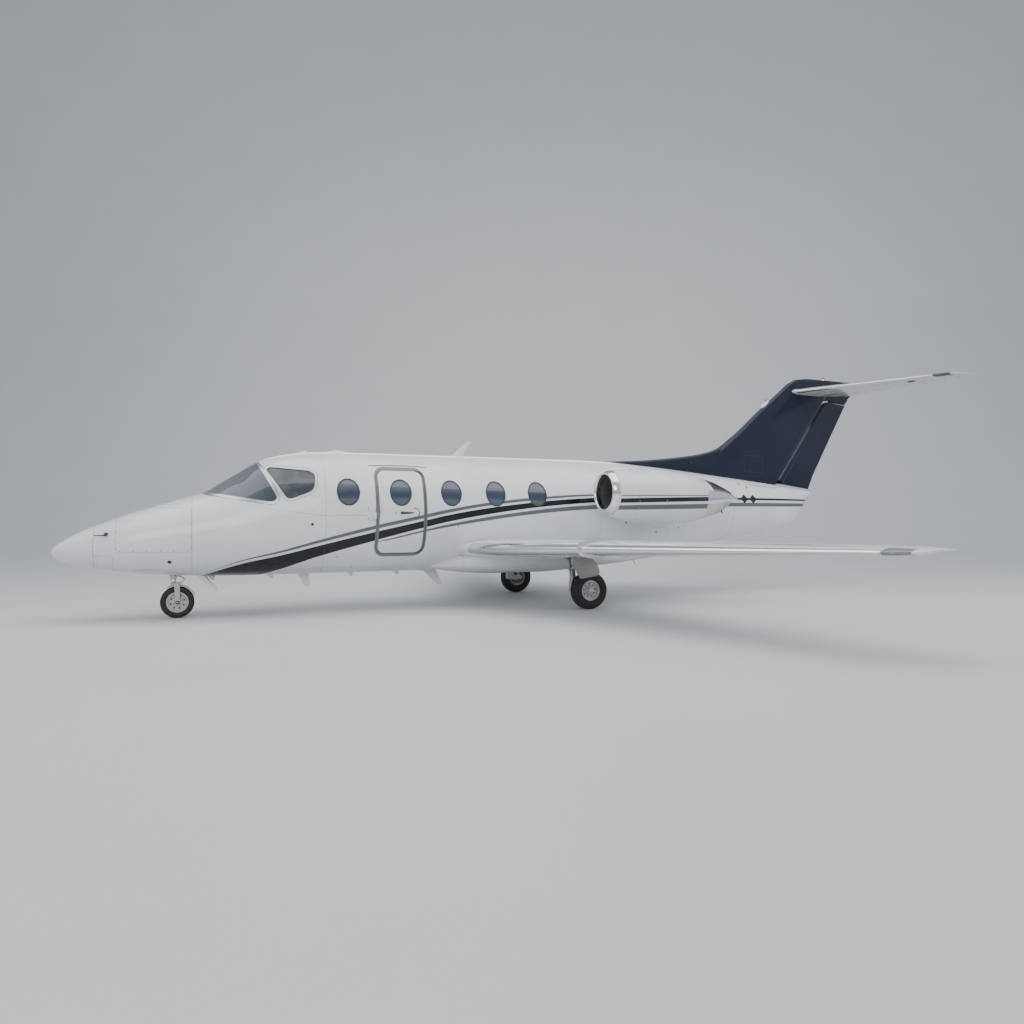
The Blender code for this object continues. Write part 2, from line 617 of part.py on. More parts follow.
FLAP_ENDS, FLAP_SHARE, FLAP_DROP = (1.12, 5.15), 0.76, 0.032
SPOILER_ENDS, SPOILER_SHARES, SPOILER_SKIN = (3.05, 4.95), (0.57, 0.69), 0.014
axes = {}
for side, word in ((PORT, "left"), (STARBOARD, "right")):
    rings = [wing_ring(WING, side, row[0]) for row in WING]
    wing = loft("wing_" + word, rings, WHITE)
    cut(wing, fairing_shape, fuselage_shape)

    flap_start = skin_point(WING, side, FLAP_ENDS[0], FLAP_SHARE, False) - Vector((0, 0, FLAP_DROP))
    flap_end = skin_point(WING, side, FLAP_ENDS[1], FLAP_SHARE, False) - Vector((0, 0, FLAP_DROP))
    axes["flap_" + word] = (flap_start, flap_end)
    span = (flap_end - flap_start).length
    behind = ((0.0, -0.3), (1.3, -0.3), (1.3, 0.5), (0.0, 0.5))
    bay = [(aft - CLEAR if aft == 0 else aft, up) for aft, up in behind]
    cut(wing, axis_prism("flap_bay_" + word, flap_start, flap_end, bay, 0.0, span))
    flap = loft("flap_" + word, rings, WHITE)
    keep(flap, axis_prism("flap_edge_" + word, flap_start, flap_end, behind, CLEAR, span - CLEAR))
    for number, place in enumerate((0.25 * span, 0.80 * span)):
        tag = "flap_%s_%d" % (word, number)
        bracket = axis_prism(tag + "_bracket", flap_start, flap_end,
                             ((-0.30, 0.070), (-0.012, 0.060), (-0.012, 0.012), (0.0, -0.016), (-0.040, -0.016)),
                             place - 0.011, place - 0.001)
        join(wing, bracket, axis_rod(tag + "_eye", flap_start, flap_end, place - 0.012, place, 0.018))
        arm = axis_prism(tag + "_arm", flap_start, flap_end,
                         ((-0.004, -0.016), (0.060, -0.004), (0.180, 0.055), (0.020, 0.055), (0.004, 0.010)),
                         place + 0.001, place + 0.012)
        join(flap, arm, axis_rod(tag + "_boss", flap_start, flap_end, place + GAP, place + 0.013, 0.018))

    start = skin_point(WING, side, SPOILER_ENDS[0], SPOILER_SHARES[0], True) - Vector((0, 0, SPOILER_SKIN / 2))
    end = skin_point(WING, side, SPOILER_ENDS[1], SPOILER_SHARES[0], True) - Vector((0, 0, SPOILER_SKIN / 2))
    axes["spoiler_" + word] = (start, end)
    middle = (SPOILER_ENDS[0] + SPOILER_ENDS[1]) / 2
    front = skin_point(WING, side, middle, SPOILER_SHARES[0], True)
    rear = skin_point(WING, side, middle, SPOILER_SHARES[1], True)
    fall, long = front.z - rear.z, rear.x - front.x
    span = (end - start).length
    under = SPOILER_SKIN / 2
    cut(wing, axis_prism("spoiler_bay_" + word, start, end,
                         ((-0.020, -under - CLEAR), (long + CLEAR, -under - CLEAR - fall), (long + CLEAR, 0.10),
                          (-0.020, 0.10)), 0.0, span))
    spoiler = loft("spoiler_" + word, rings, WHITE)
    keep(spoiler, axis_prism("spoiler_edge_" + word, start, end,
                             ((-0.003, -under), (long, -under - fall), (long, 0.10), (-0.003, 0.10)),
                             CLEAR, span - CLEAR))
    join(spoiler, axis_rod("spoiler_pin_a_" + word, start, end, GAP, 0.03, 0.0045, sides=8),
         axis_rod("spoiler_pin_b_" + word, start, end, span - 0.03, span - GAP, 0.0045, sides=8))

    fence_out = 2.90
    low, high = side_span(side, fence_out - 0.004, fence_out + 0.004)
    top = [skin_point(WING, side, fence_out, share, True) for share in (0.50, 0.30, 0.12, 0.02)]
    foot = [skin_point(WING, side, fence_out, share, False) for share in (0.02, 0.10, 0.16)]
    half = LENGTH / 2
    outer = ([(top[0].x + half, top[0].z + 0.004), (top[1].x + half, top[1].z + 0.055),
              (top[2].x + half, top[2].z + 0.065), (top[3].x + half - 0.04, top[3].z + 0.055),
              (top[3].x + half - 0.085, top[3].z), (foot[0].x + half - 0.05, foot[0].z - 0.03),
              (foot[1].x + half, foot[1].z - 0.040), (foot[2].x + half, foot[2].z)])
    inner = [(foot[2].x + half, foot[2].z + 0.03), (foot[1].x + half, foot[1].z + 0.05),
             (top[1].x + half, top[1].z - 0.05), (top[0].x + half, top[0].z - 0.03)]
    join(wing, prism("fence_" + word, outer + inner, low, high))

    # Main gear: a leg in a bay under the wing, its door, and the wheel outboard
    low, high = side_span(side, 1.165, 1.375)
    cut(wing, box("main_bay_" + word, (7.100, low, 0.50), (7.360, high, 0.895)))
    leg = rod("main_leg_" + word, (7.230, side * 1.265, 0.895 - GAP), (7.230, side * 1.265, 0.420), 0.050, STEEL)
    low, high = side_span(side, 1.225, 1.310 - GAP)
    arm = box("main_arm_" + word, (7.150, low, 0.240), (7.480, high, 0.340))
    knee = box("main_knee_" + word, (7.170, low, 0.240), (7.290, high, 0.460))
    brace = rod("main_brace_" + word, (7.425, side * 1.265, 0.300), (7.260, side * 1.265, 0.700), 0.026)
    jack = rod("main_jack_" + word, (7.150, side * 1.265, 0.785), (7.185, side * 1.265, 0.430), 0.020)
    leg_door = prism("main_leg_door_" + word, LEG_DOOR, *side_span(side, 1.531, 1.541))
    low, high = side_span(side, 1.280, 1.536)
    tie = box("main_door_tie_" + word, (7.190, low, 0.650), (7.270, high, 0.690))
    join(leg, arm, knee, brace, jack, leg_door, tie)


# Wheels
def wheel(name, station, y, radius, half, rim, hub, face):
    """Tyre, rim and hub in one; hub is how far the hub's flat faces stand from the middle."""
    profile = ((-half * 0.80, rim * 1.06), (-half, rim + (radius - rim) * 0.40), (-half * 0.93, radius * 0.93),
               (-half * 0.62, radius * 0.985), (-half * 0.25, radius), (half * 0.25, radius),
               (half * 0.62, radius * 0.985), (half * 0.93, radius * 0.93), (half, rim + (radius - rim) * 0.40),
               (half * 0.80, rim * 1.06), (half * 0.72, rim), (half * 0.72, rim * 0.90), (face, rim * 0.80),
               (face, rim * 0.36), (hub, rim * 0.34), (hub, 0.010), (-hub, 0.010), (-hub, rim * 0.34),
               (-face, rim * 0.36), (-face, rim * 0.80), (-half * 0.72, rim * 0.90), (-half * 0.72, rim))
    return revolve(name, profile, (x(station), y, radius), (0, 1, 0), 28, RUBBER)


wheel("nose_wheel", NOSE_AXLE, 0.0, NOSE_TYRE, NOSE_TYRE_HALF, NOSE_RIM, 0.062, 0.020)
for side, word in ((PORT, "left"), (STARBOARD, "right")):
    wheel("main_wheel_" + word, MAIN_AXLE, side * TRACK / 2, MAIN_TYRE, MAIN_TYRE_HALF, MAIN_RIM, 0.110, 0.030)

# Nose gear: the fixed leg and the fork that steers
STEER = 1.500
nose_leg = rod("nose_leg", (STEER, 0, 1.000 - GAP), (STEER, 0, 0.560), 0.045, STEEL, 16)
join(nose_leg, rod("nose_drag_brace", (STEER, 0, 0.640), (1.330, 0, 0.975), 0.022),
     box("nose_brace_foot", (1.280, -0.05, 0.930), (1.380, 0.05, 1.000 - GAP)))
nose_fork = rod("nose_fork", (STEER, 0, 0.560 - GAP), (STEER, 0, 0.470), 0.034, STEEL, 16)
join(nose_fork, box("fork_crown", (1.465, -0.084, 0.462), (1.600, 0.084, 0.495)))
for side in (PORT, STARBOARD):
    low, high = side_span(side, 0.0623, 0.084)
    join(nose_fork, box("fork_arm_%d" % side, (1.500, low, 0.190), (1.590, high, 0.480)))

# Fin, tailplane and their moving surfaces
def upright_ring(height, edge, back, half):
    chord = back - edge
    right = [(x(edge + share * chord), half * thick, height) for share, thick in reversed(AIRFOIL)]
    left = [(x(edge + share * chord), -half * thick, height) for share, thick in AIRFOIL[1:]]
    return right + left


fin_rings = [upright_ring(*row) for row in FIN]
fin = loft("fin", fin_rings, NAVY)


def dorsal_ring(station, top, half):
    foot = blended(FUSELAGE, station)[1] - 0.12
    return [(x(station), -half, foot), (x(station), -half, top - 0.5 * half), (x(station), -0.4 * half, top),
            (x(station), 0.4 * half, top), (x(station), half, top - 0.5 * half), (x(station), half, foot)]


dorsal = loft("dorsal", [dorsal_ring(*row) for row in DORSAL])
fin_room = prism("fin_room", ((11.00, 1.90), (12.20, 1.90), (13.38, 3.70), (12.75, 3.70)), -0.035, 0.035)
tail_shape = fuselage_envelope("tail_shape", 8.10, 13.36)
RUDDER_START, RUDDER_END = (x(12.500), 0, 2.060), (x(13.735), 0, 3.760)
rudder_span = (Vector(RUDDER_END) - Vector(RUDDER_START)).length
RUDDER_SIDE = ((12.520, 2.087), (13.320, 1.990), (13.420, 1.990), (14.500, 3.740), (13.780, 3.790))
bay_side = ((12.440, 2.000), (13.400, 1.900), (14.800, 3.800), (13.788, 3.820))
join(fin, dorsal)
cut(fin, fin_room, prism("rudder_bay", bay_side, -0.2, 0.2),
    axis_rod("rudder_nose_bay", RUDDER_START, RUDDER_END, -0.20, rudder_span + 0.080, 0.098 + CLEAR, 0.078 + CLEAR),
    tail_shape)
rudder = loft("rudder", fin_rings, NAVY)
rudder_region = prism("rudder_region", RUDDER_SIDE, -0.2, 0.2)
keep(rudder, rudder_region)
join(rudder, axis_rod("rudder_nose", RUDDER_START, RUDDER_END, 0.080, rudder_span - 0.060, 0.088, 0.071))
lugs("rudder", fin, rudder, RUDDER_START, RUDDER_END, (0.35, 1.60), 0.20, 0.045, 0.096, (0, 1, 0))

tailplane_rings = ([wing_ring(TAILPLANE, PORT, row[0]) for row in reversed(TAILPLANE)]
                   + [wing_ring(TAILPLANE, STARBOARD, row[0]) for row in TAILPLANE[1:]])
tailplane = loft("tailplane", tailplane_rings, WHITE)


def spread(ring, by):
    """A wing section a little thicker all round, for the seat it rests in."""
    nose = len(AIRFOIL) - 1
    made = []
    for number, point in enumerate(ring):
        forward = -3 * by if number == nose else (by if number in (0, len(ring) - 1) else 0)
        made.append(point + Vector((forward, 0, by if number <= nose else -by)))
    return made


cut(fin, loft("tailplane_seat", [spread(ring, 2 * GAP) for ring in tailplane_rings]))
ELEVATOR_ENDS, ELEVATOR_SHARE = (0.150, 2.300), 0.66
for side, word in ((PORT, "left"), (STARBOARD, "right")):
    ends = []
    for out in ELEVATOR_ENDS:
        top = skin_point(TAILPLANE, side, out, ELEVATOR_SHARE, True)
        foot = skin_point(TAILPLANE, side, out, ELEVATOR_SHARE, False)
        ends.append(((top + foot) / 2, (top - foot).length / 2))
    (start, start_half), (end, end_half) = ends
    axes["elevator_" + word] = (start, end)
    span = (end - start).length
    taper = (end_half - start_half) / span
    region = ((0.0, -0.3), (1.0, -0.3), (1.0, 0.3), (0.0, 0.3))
    bay = axis_prism("elevator_bay_" + word, start, end, [(aft - CLEAR, up) for aft, up in region], -0.40, span)
    low, high = side_span(side, 0.094, 2.60)
    keep(bay, box("elevator_bay_side_" + word, (12.0, low, 3.5), (15.0, high, 4.4)))
    cut(tailplane, bay,
        axis_rod("elevator_nose_bay_" + word, start, end, -0.056, span, start_half + CLEAR, end_half + CLEAR))
    elevator = loft("elevator_" + word, [wing_ring(TAILPLANE, side, row[0]) for row in TAILPLANE], WHITE)
    low, high = side_span(side, 0.100, 2.60)
    keep(elevator, axis_prism("elevator_edge_" + word, start, end, region, -0.40, span - CLEAR))
    keep(elevator, box("elevator_side_" + word, (12.0, low, 3.5), (15.0, high, 4.4)))
    join(elevator, axis_rod("elevator_nose_" + word, start, end, CLEAR - 0.056, span - CLEAR, start_half,
                            end_half))
    for number, place in enumerate((0.30 * span, 0.78 * span)):
        lugs("elevator_%s_%d" % (word, number), tailplane, elevator, start, end, (place,), 0.10,
             (start_half + taper * place) * 0.70, (start_half + taper * place) + 0.004)

# Engines: nacelle with its pylon, nozzle, core and fan
def circle(station, radius, side, sides=32):
    return [(x(station), side * ENGINE_OUT + radius * math.cos(2 * math.pi * i / sides),
             ENGINE_HEIGHT + radius * math.sin(2 * math.pi * i / sides)) for i in range(sides)]


def cowl_ring(row, side, inset=0.0, sides=32):
    station, half, top, foot = row
    middle, rise = (top + foot) / 2, (top - foot) / 2 - inset
    return [(x(station), side * ENGINE_OUT + (half - inset) * math.cos(2 * math.pi * i / sides),
             middle + rise * math.sin(2 * math.pi * i / sides)) for i in range(sides)]


def pylon_ring(side, out, edge, chord, height, half):
    right = [(x(edge + share * chord), side * out, height + half * thick) for share, thick in reversed(AIRFOIL)]
    left = [(x(edge + share * chord), side * out, height - half * thick) for share, thick in AIRFOIL[1:]]
    return right + left


for side, word in ((PORT, "left"), (STARBOARD, "right")):
    outer = [cowl_ring(row, side) for row in NACELLE_OUTSIDE]
    inner = [cowl_ring(row, side) for row in reversed(NACELLE_INSIDE)]
    nacelle = tube_loft("nacelle_" + word, outer, inner, WHITE)
    pylon = loft("pylon_" + word, [pylon_ring(side, 0.45, 8.05, 2.05, 1.80, 0.085),
                                   pylon_ring(side, 0.98, 8.28, 1.22, 1.80, 0.070)])
    join(nacelle, pylon)
    cut(nacelle, tail_shape, fuselage_shape)
    nozzle_out = [cowl_ring(row, side) for row in NOZZLE_OUTSIDE]
    nozzle_in = [cowl_ring(row, side) for row in reversed(NOZZLE_INSIDE)]
    nozzle = tube_loft("nozzle_" + word, nozzle_out, nozzle_in, POLISHED)
    for way in (-1, 1):
        fairing_rings = []
        for station, near, far, foot, top in NOZZLE_FAIRING:
            middle, half = (foot + top) / 2, (top - foot) / 2
            fairing_rings.append([(x(station), side * ENGINE_OUT + way * (near if y < 0 else near + (far - near) * y),
                                   ENGINE_HEIGHT + middle + half * z)
                                  for y, z in ((0, -1), (0.75, -0.8), (1, 0), (0.75, 0.8), (0, 1))])
        join(nozzle, loft("nozzle_fairing_%s_%d" % (word, way), fairing_rings))
    core = loft("engine_core_" + word, [circle(8.230, 0.110, side, 16), circle(8.500, 0.185, side, 16),
                                        circle(9.500, 0.175, side, 16), circle(9.900, 0.060, side, 16)], DARK)
    vane_reach = 0.40
    centre = Vector((x(8.60), side * ENGINE_OUT, ENGINE_HEIGHT))
    for number in range(4):
        angle = math.radians(45 + 90 * number)
        outward = Vector((0, math.cos(angle), math.sin(angle)))
        across = Vector((0, -math.sin(angle), math.cos(angle)))
        ring = [[centre + Vector((a, 0, 0)) + across * b + outward * c
                 for a, b in ((-0.12, -0.012), (0.16, -0.012), (0.16, 0.012), (-0.12, 0.012))]
                for c in (0.10, vane_reach)]
        join(core, loft("vane_%s_%d" % (word, number), ring))
    plug_rings = [cowl_ring(row, side, GAP) for row in reversed(NACELLE_INSIDE)]
    keep(core, loft("duct_plug_" + word, plug_rings + [circle(10.2, 0.25, side)]))
    fan = loft("fan_" + word, [circle(FAN_STATION + along, radius, side, 20) for along, radius in (
        (-0.205, 0.006), (-0.150, 0.050), (-0.060, 0.088), (0.000, 0.100), (0.100 - GAP, 0.100))], DARK)
    blades = bmesh.new()
    turn = math.radians(FAN_TWIST)
    for number in range(FAN_BLADES):
        angle = 2 * math.pi * number / FAN_BLADES
        outward = Vector((0, math.cos(angle), math.sin(angle)))
        across = Vector((0, -math.sin(angle), math.cos(angle)))
        middle = Vector((x(FAN_STATION) + 0.045, side * ENGINE_OUT, ENGINE_HEIGHT))
        lie = Vector((math.cos(turn), 0, 0)) + across * math.sin(turn)
        face = Vector((-math.sin(turn), 0, 0)) + across * math.cos(turn)
        rows = []
        for reach, half_chord in ((0.092, 0.038), (FAN_RADIUS, 0.046)):
            rows.append([blades.verts.new(middle + outward * reach + lie * a + face * b)
                         for a, b in ((-half_chord, -0.004), (half_chord, -0.004), (half_chord, 0.004),
                                      (-half_chord, 0.004))])
        skin(blades, rows[0], rows[1])
        blades.faces.new(rows[0])
        blades.faces.new(rows[1])
    join(fan, add("fan_blades_" + word, mesh_of(blades, "fan_blades"), None, cutter=True))

# Blade antennas: each end's height, leading edge, trailing edge and half thickness
BLADES = {
    "top_antenna": ((2.360, 5.620, 5.950, 0.016), (2.660, 5.860, 5.980, 0.006)),
    "belly_antenna": ((0.560, 5.140, 5.460, 0.016), (0.310, 5.340, 5.480, 0.006)),
    "front_antenna": ((0.600, 3.220, 3.360, 0.012), (0.385, 3.280, 3.370, 0.005)),
}


def blade(name):
    rings = []
    for height, front, back, half in BLADES[name]:
        rings.append([(x(front), half * 0.2, height), (x(front + 0.35 * (back - front)), half, height),
                      (x(back), half * 0.1, height), (x(back), -half * 0.1, height),
                      (x(front + 0.35 * (back - front)), -half, height), (x(front), -half * 0.2, height)])
    return loft(name, rings, WHITE)


cockpit_shape = fuselage_envelope("cockpit_shape", NOSE_END, COCKPIT_END)
for name, base in (("top_antenna", fuselage_shape), ("belly_antenna", fairing_shape),
                   ("front_antenna", cockpit_shape)):
    cut(blade(name), base)
for side, word in ((PORT, "left"), (STARBOARD, "right")):
    low, high = side_span(side, 0.120, 0.130)
    cut(box("nose_bay_door_" + word, (1.760, low, 0.465), (1.990, high, 0.620), WHITE), cockpit_shape)
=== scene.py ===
"""A parked business jet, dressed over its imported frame: skins, paint, glass, cabin, wheels and a studio."""
import math

import bmesh
import bpy
import numpy as np
from mathutils import Matrix, Vector
from mathutils.bvhtree import BVHTree


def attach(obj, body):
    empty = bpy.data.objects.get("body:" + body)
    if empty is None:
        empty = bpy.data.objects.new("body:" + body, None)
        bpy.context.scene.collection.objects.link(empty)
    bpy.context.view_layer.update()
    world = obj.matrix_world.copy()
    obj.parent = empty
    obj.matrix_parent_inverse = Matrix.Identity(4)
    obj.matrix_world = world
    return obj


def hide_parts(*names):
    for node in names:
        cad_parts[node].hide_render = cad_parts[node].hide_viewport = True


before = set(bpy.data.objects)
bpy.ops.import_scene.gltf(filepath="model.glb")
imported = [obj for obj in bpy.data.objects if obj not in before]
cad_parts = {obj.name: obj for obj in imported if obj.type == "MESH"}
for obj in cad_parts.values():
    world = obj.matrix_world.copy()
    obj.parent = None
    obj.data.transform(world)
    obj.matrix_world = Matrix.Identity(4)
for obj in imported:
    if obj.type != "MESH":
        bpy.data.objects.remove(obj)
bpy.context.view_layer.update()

# The studio. The floor is a pale sheet that sweeps up behind the aircraft, lit by wide soft lamps overhead
# and to the sides. The camera stands where the photograph was taken, off the left side near the nose.
NOSE_X = -7.38            # station 0, the tip of the nose, in the frame's own x


class Value:
    """A number or colour that varies over a surface; sums on it add Math nodes."""

    def __init__(self, finish, socket):
        self.finish, self.socket = finish, socket

    def math(self, operation, first, second=0.0):
        return self.finish.add("ShaderNodeMath", {"operation": operation}, {0: first, 1: second})

    def __add__(self, other):
        return self.math("ADD", self, other)

    def __radd__(self, other):
        return self.math("ADD", other, self)

    def __sub__(self, other):
        return self.math("SUBTRACT", self, other)

    def __rsub__(self, other):
        return self.math("SUBTRACT", other, self)

    def __mul__(self, other):
        return self.math("MULTIPLY", self, other)

    def __rmul__(self, other):
        return self.math("MULTIPLY", other, self)

    def __truediv__(self, other):
        return self.math("DIVIDE", self, other)

    def __gt__(self, other):
        return self.math("GREATER_THAN", self, other)

    def __lt__(self, other):
        return self.math("LESS_THAN", self, other)

    def __abs__(self):
        return self.math("ABSOLUTE", self)

    def __or__(self, other):
        return self.math("MAXIMUM", self, other)

    def __and__(self, other):
        return self.math("MINIMUM", self, other)

    def within(self, low, high):
        return (self > low) * (self < high)

    def ramp(self, low, high):
        return self.finish.add("ShaderNodeMapRange", {}, {"Value": self, "From Min": low, "From Max": high})

    def repeats(self, pitch):
        """Distance from the nearest of many lines, pitch apart."""
        return abs(self.math("FRACT", self / pitch + 0.5) - 0.5) * pitch


class Finish:
    """A material and the nodes that vary it over the surface."""

    def __init__(self, name, **sockets):
        self.material = bpy.data.materials.new(name)
        self.material.use_nodes = True
        self.tree = self.material.node_tree
        self.shader = self.tree.nodes["Principled BSDF"]
        self.place = self.add("ShaderNodeTexCoord", {}, {}, 3)
        self.x, self.y, self.z = (self.add("ShaderNodeSeparateXYZ", {}, {0: self.place}, i) for i in range(3))
        self.station = self.x - NOSE_X
        self.set(**sockets)

    def add(self, kind, settings, sockets, output=0):
        node = self.tree.nodes.new(kind)
        for name, value in settings.items():
            if name == "points":
                line = node.mapping.curves[0]
                line.points[0].location, line.points[1].location = value[0], value[-1]
                for point in value[1:-1]:
                    line.points.new(*point).handle_type = "AUTO_CLAMPED"
                node.mapping.update()
            else:
                setattr(node, name, value)
        for name, value in sockets.items():
            self.plug(node.inputs[name], value)
        return Value(self, node.outputs[output])

    def plug(self, socket, value):
        if isinstance(value, Value):
            self.tree.links.new(value.socket, socket)
        elif isinstance(value, tuple) and socket.type == "RGBA":
            socket.default_value = (*value, 1.0)
        else:
            socket.default_value = value

    def set(self, **sockets):
        for name, value in sockets.items():
            self.plug(self.shader.inputs[name.replace("_", " ").title().replace("Ior", "IOR")], value)

    def noise(self, scale, detail=3.0, roughness=0.5, stretch=(1, 1, 1)):
        at = self.place
        if stretch != (1, 1, 1):
            at = self.add("ShaderNodeVectorMath", {"operation": "MULTIPLY"}, {0: at, 1: stretch})
        return self.add("ShaderNodeTexNoise", {}, {"Vector": at, "Scale": scale, "Detail": detail,
                                                   "Roughness": roughness})

    def cells(self, scale, stretch=(1, 1, 1)):
        at = self.add("ShaderNodeVectorMath", {"operation": "MULTIPLY"}, {0: self.place, 1: stretch})
        return self.add("ShaderNodeTexVoronoi", {}, {"Vector": at, "Scale": scale})

    def mix(self, share, first, second):
        return self.add("ShaderNodeMix", {"data_type": "RGBA"}, {0: share, 6: first, 7: second}, 2)

    def curve(self, value, points, span, reach):
        """A smooth curve through (value, result) points, which span covers one way and reach the other."""
        scaled = [((a - span[0]) / (span[1] - span[0]), (b - reach[0]) / (reach[1] - reach[0]))
                  for a, b in points]
        level = self.add("ShaderNodeFloatCurve", {"points": scaled},
                         {"Value": (value - span[0]) / (span[1] - span[0])})
        return level * (reach[1] - reach[0]) + reach[0]

    def bump(self, height, strength=0.3, distance=0.002):
        self.set(Normal=self.add("ShaderNodeBump", {}, {"Strength": strength, "Distance": distance,
                                                        "Height": height}))


def mesh_piece(name, points, faces, finish=None, smooth=True):
    mesh = bpy.data.meshes.new(name)
    mesh.from_pydata([tuple(point) for point in points], [], [tuple(face) for face in faces])
    piece = bpy.data.objects.new(name, mesh)
    bpy.context.scene.collection.objects.link(piece)
    if finish:
        mesh.materials.append(finish.material)
    if smooth:
        mesh.shade_smooth()
    return piece


sweep = [(-300.0, 0.0), (16.0, 0.0)]
sweep += [(16 + 12 * math.sin(math.radians(a)), 12 - 12 * math.cos(math.radians(a))) for a in range(5, 91, 5)]
sweep += [(28.0, 50.0)]
paper = Finish("studio_paper", Roughness=0.8)
paper.set(Base_Color=paper.mix(paper.noise(0.6, 2), (0.63, 0.635, 0.64), (0.67, 0.675, 0.68)))
backdrop = mesh_piece("studio_floor", [(across, along, up) for along, up in sweep for across in (-300, 300)],
                      [(2 * i, 2 * i + 1, 2 * i + 3, 2 * i + 2) for i in range(len(sweep) - 1)], paper)
backdrop.rotation_euler = (0, 0, math.radians(-23.3))

world = bpy.data.worlds.new("studio")
bpy.context.scene.world = world
world.use_nodes = True
world.node_tree.nodes["Background"].inputs["Color"].default_value = (0.74, 0.80, 0.88, 1)
world.node_tree.nodes["Background"].inputs["Strength"].default_value = 0.78
LAMPS = (   # name, place, what it points at, size, power, colour
    ("overhead", (-1, -2.5, 11.0), (0, 0, 1), (22, 10), 1250, (1.0, 1.0, 1.0)),
    ("left_side", (-9, -13, 6.5), (-1, 0, 1.4), (12, 5), 520, (1.0, 0.98, 0.95)),
    ("tail_side", (13, -9, 6.0), (5, 0, 2), (7, 5), 300, (1.0, 1.0, 1.0)),
    ("far_side", (2, 12, 7.0), (0, 0, 2), (14, 5), 340, (0.93, 0.96, 1.0)),
    ("wall_wash", (6, 9, 14.0), (13, 27, 8), (44, 6), 1500, (1.0, 1.0, 1.0)),
)
for name, place, target, size, power, colour in LAMPS:
    light = bpy.data.lights.new(name, "AREA")
    light.shape, light.size, light.size_y, light.energy, light.color = "RECTANGLE", *size, power, colour
    lamp = bpy.data.objects.new(name, light)
    bpy.context.scene.collection.objects.link(lamp)
    lamp.location = place
    if name in ("tail_side", "wall_wash"):
        lamp.visible_glossy, light.specular_factor = False, 0.0
    lamp.rotation_euler = (Vector(target) - Vector(place)).to_track_quat("-Z", "Y").to_euler()

lens = bpy.data.cameras.new("camera")
lens.lens, lens.sensor_width, lens.shift_y, lens.clip_end = 26.32, 36.0, 0.0035, 400
camera = bpy.data.objects.new("camera", lens)
bpy.context.scene.collection.objects.link(camera)
camera.location = (1.708 + NOSE_X, -11.661, 1.452)
camera.rotation_euler = (math.radians(90), 0, math.radians(-23.32))
bpy.context.scene.camera = camera

# The nose: a moulded radome and the bay behind it, one smooth curve of painted skin with the joint ring
# between them, a fastened access panel on each side and the well that the nose leg stands in.
SKIN = np.array((   # station, top, bottom, half width, height of the widest line, roundness of the top
    (0.00, 0.973, 0.957, 0.008, 0.965, 2.00), (0.012, 1.000, 0.925, 0.045, 0.962, 2.00),
    (0.05, 1.045, 0.870, 0.090, 0.960, 2.00), (0.20, 1.150, 0.808, 0.185, 0.975, 2.00),
    (0.40, 1.262, 0.752, 0.272, 0.995, 2.00), (0.58, 1.340, 0.708, 0.338, 1.012, 2.00),
    (0.95, 1.485, 0.655, 0.445, 1.050, 2.00), (1.33, 1.607, 0.617, 0.535, 1.100, 2.00),
    (1.74, 1.737, 0.592, 0.615, 1.160, 2.00), (1.91, 1.790, 0.587, 0.645, 1.190, 2.00),
    (2.10, 1.912, 0.583, 0.675, 1.225, 1.85), (2.32, 2.050, 0.580, 0.710, 1.270, 1.80),
    (2.56, 2.205, 0.578, 0.745, 1.320, 1.85), (2.74, 2.290, 0.577, 0.767, 1.355, 1.95),
    (2.95, 2.348, 0.576, 0.790, 1.395, 2.00), (3.20, 2.390, 0.575, 0.812, 1.440, 2.00),
    (3.50, 2.415, 0.575, 0.830, 1.480, 2.00), (4.00, 2.425, 0.575, 0.840, 1.500, 2.00),
    (6.00, 2.425, 0.575, 0.840, 1.500, 2.00), (8.00, 2.420, 0.580, 0.835, 1.500, 2.00),
    (8.60, 2.405, 0.600, 0.812, 1.500, 2.00), (9.30, 2.362, 0.665, 0.750, 1.510, 2.00),
    (10.20, 2.288, 0.812, 0.625, 1.550, 2.00), (11.00, 2.212, 0.968, 0.490, 1.600, 2.00),
    (12.00, 2.116, 1.126, 0.325, 1.650, 2.00), (12.93, 2.014, 1.335, 0.175, 1.700, 2.00),
    (13.10, 1.994, 1.600, 0.130, 1.800, 2.00), (13.36, 1.967, 1.930, 0.040, 1.948, 2.00)))
ROUND = 128               # facets round the fuselage


def flowing(table, at):
    """A table's row at one value of its first column, on smooth curves that never overshoot."""
    keys, rows = table[:, 0], table[:, 1:]
    step = np.diff(keys)[:, None]
    slope = np.diff(rows, axis=0) / step
    lean = np.zeros_like(rows)
    lean[0], lean[-1] = slope[0], slope[-1]
    same = slope[:-1] * slope[1:] > 0
    before, after = np.where(same, slope[:-1], 1.0), np.where(same, slope[1:], 1.0)
    near, far = step[:-1], step[1:]
    mean = 3 * (near + far) / ((2 * far + near) / before + (far + 2 * near) / after)
    lean[1:-1] = np.where(same, mean, 0.0)
    i = int(np.clip(np.searchsorted(keys, at, side="right") - 1, 0, len(step) - 1))
    h = step[i, 0]
    t = (at - keys[i]) / h
    return ((2 * t ** 3 - 3 * t ** 2 + 1) * rows[i] + (t ** 3 - 2 * t ** 2 + t) * h * lean[i]
            + (3 * t ** 2 - 2 * t ** 3) * rows[i + 1] + (t ** 3 - t ** 2) * h * lean[i + 1])


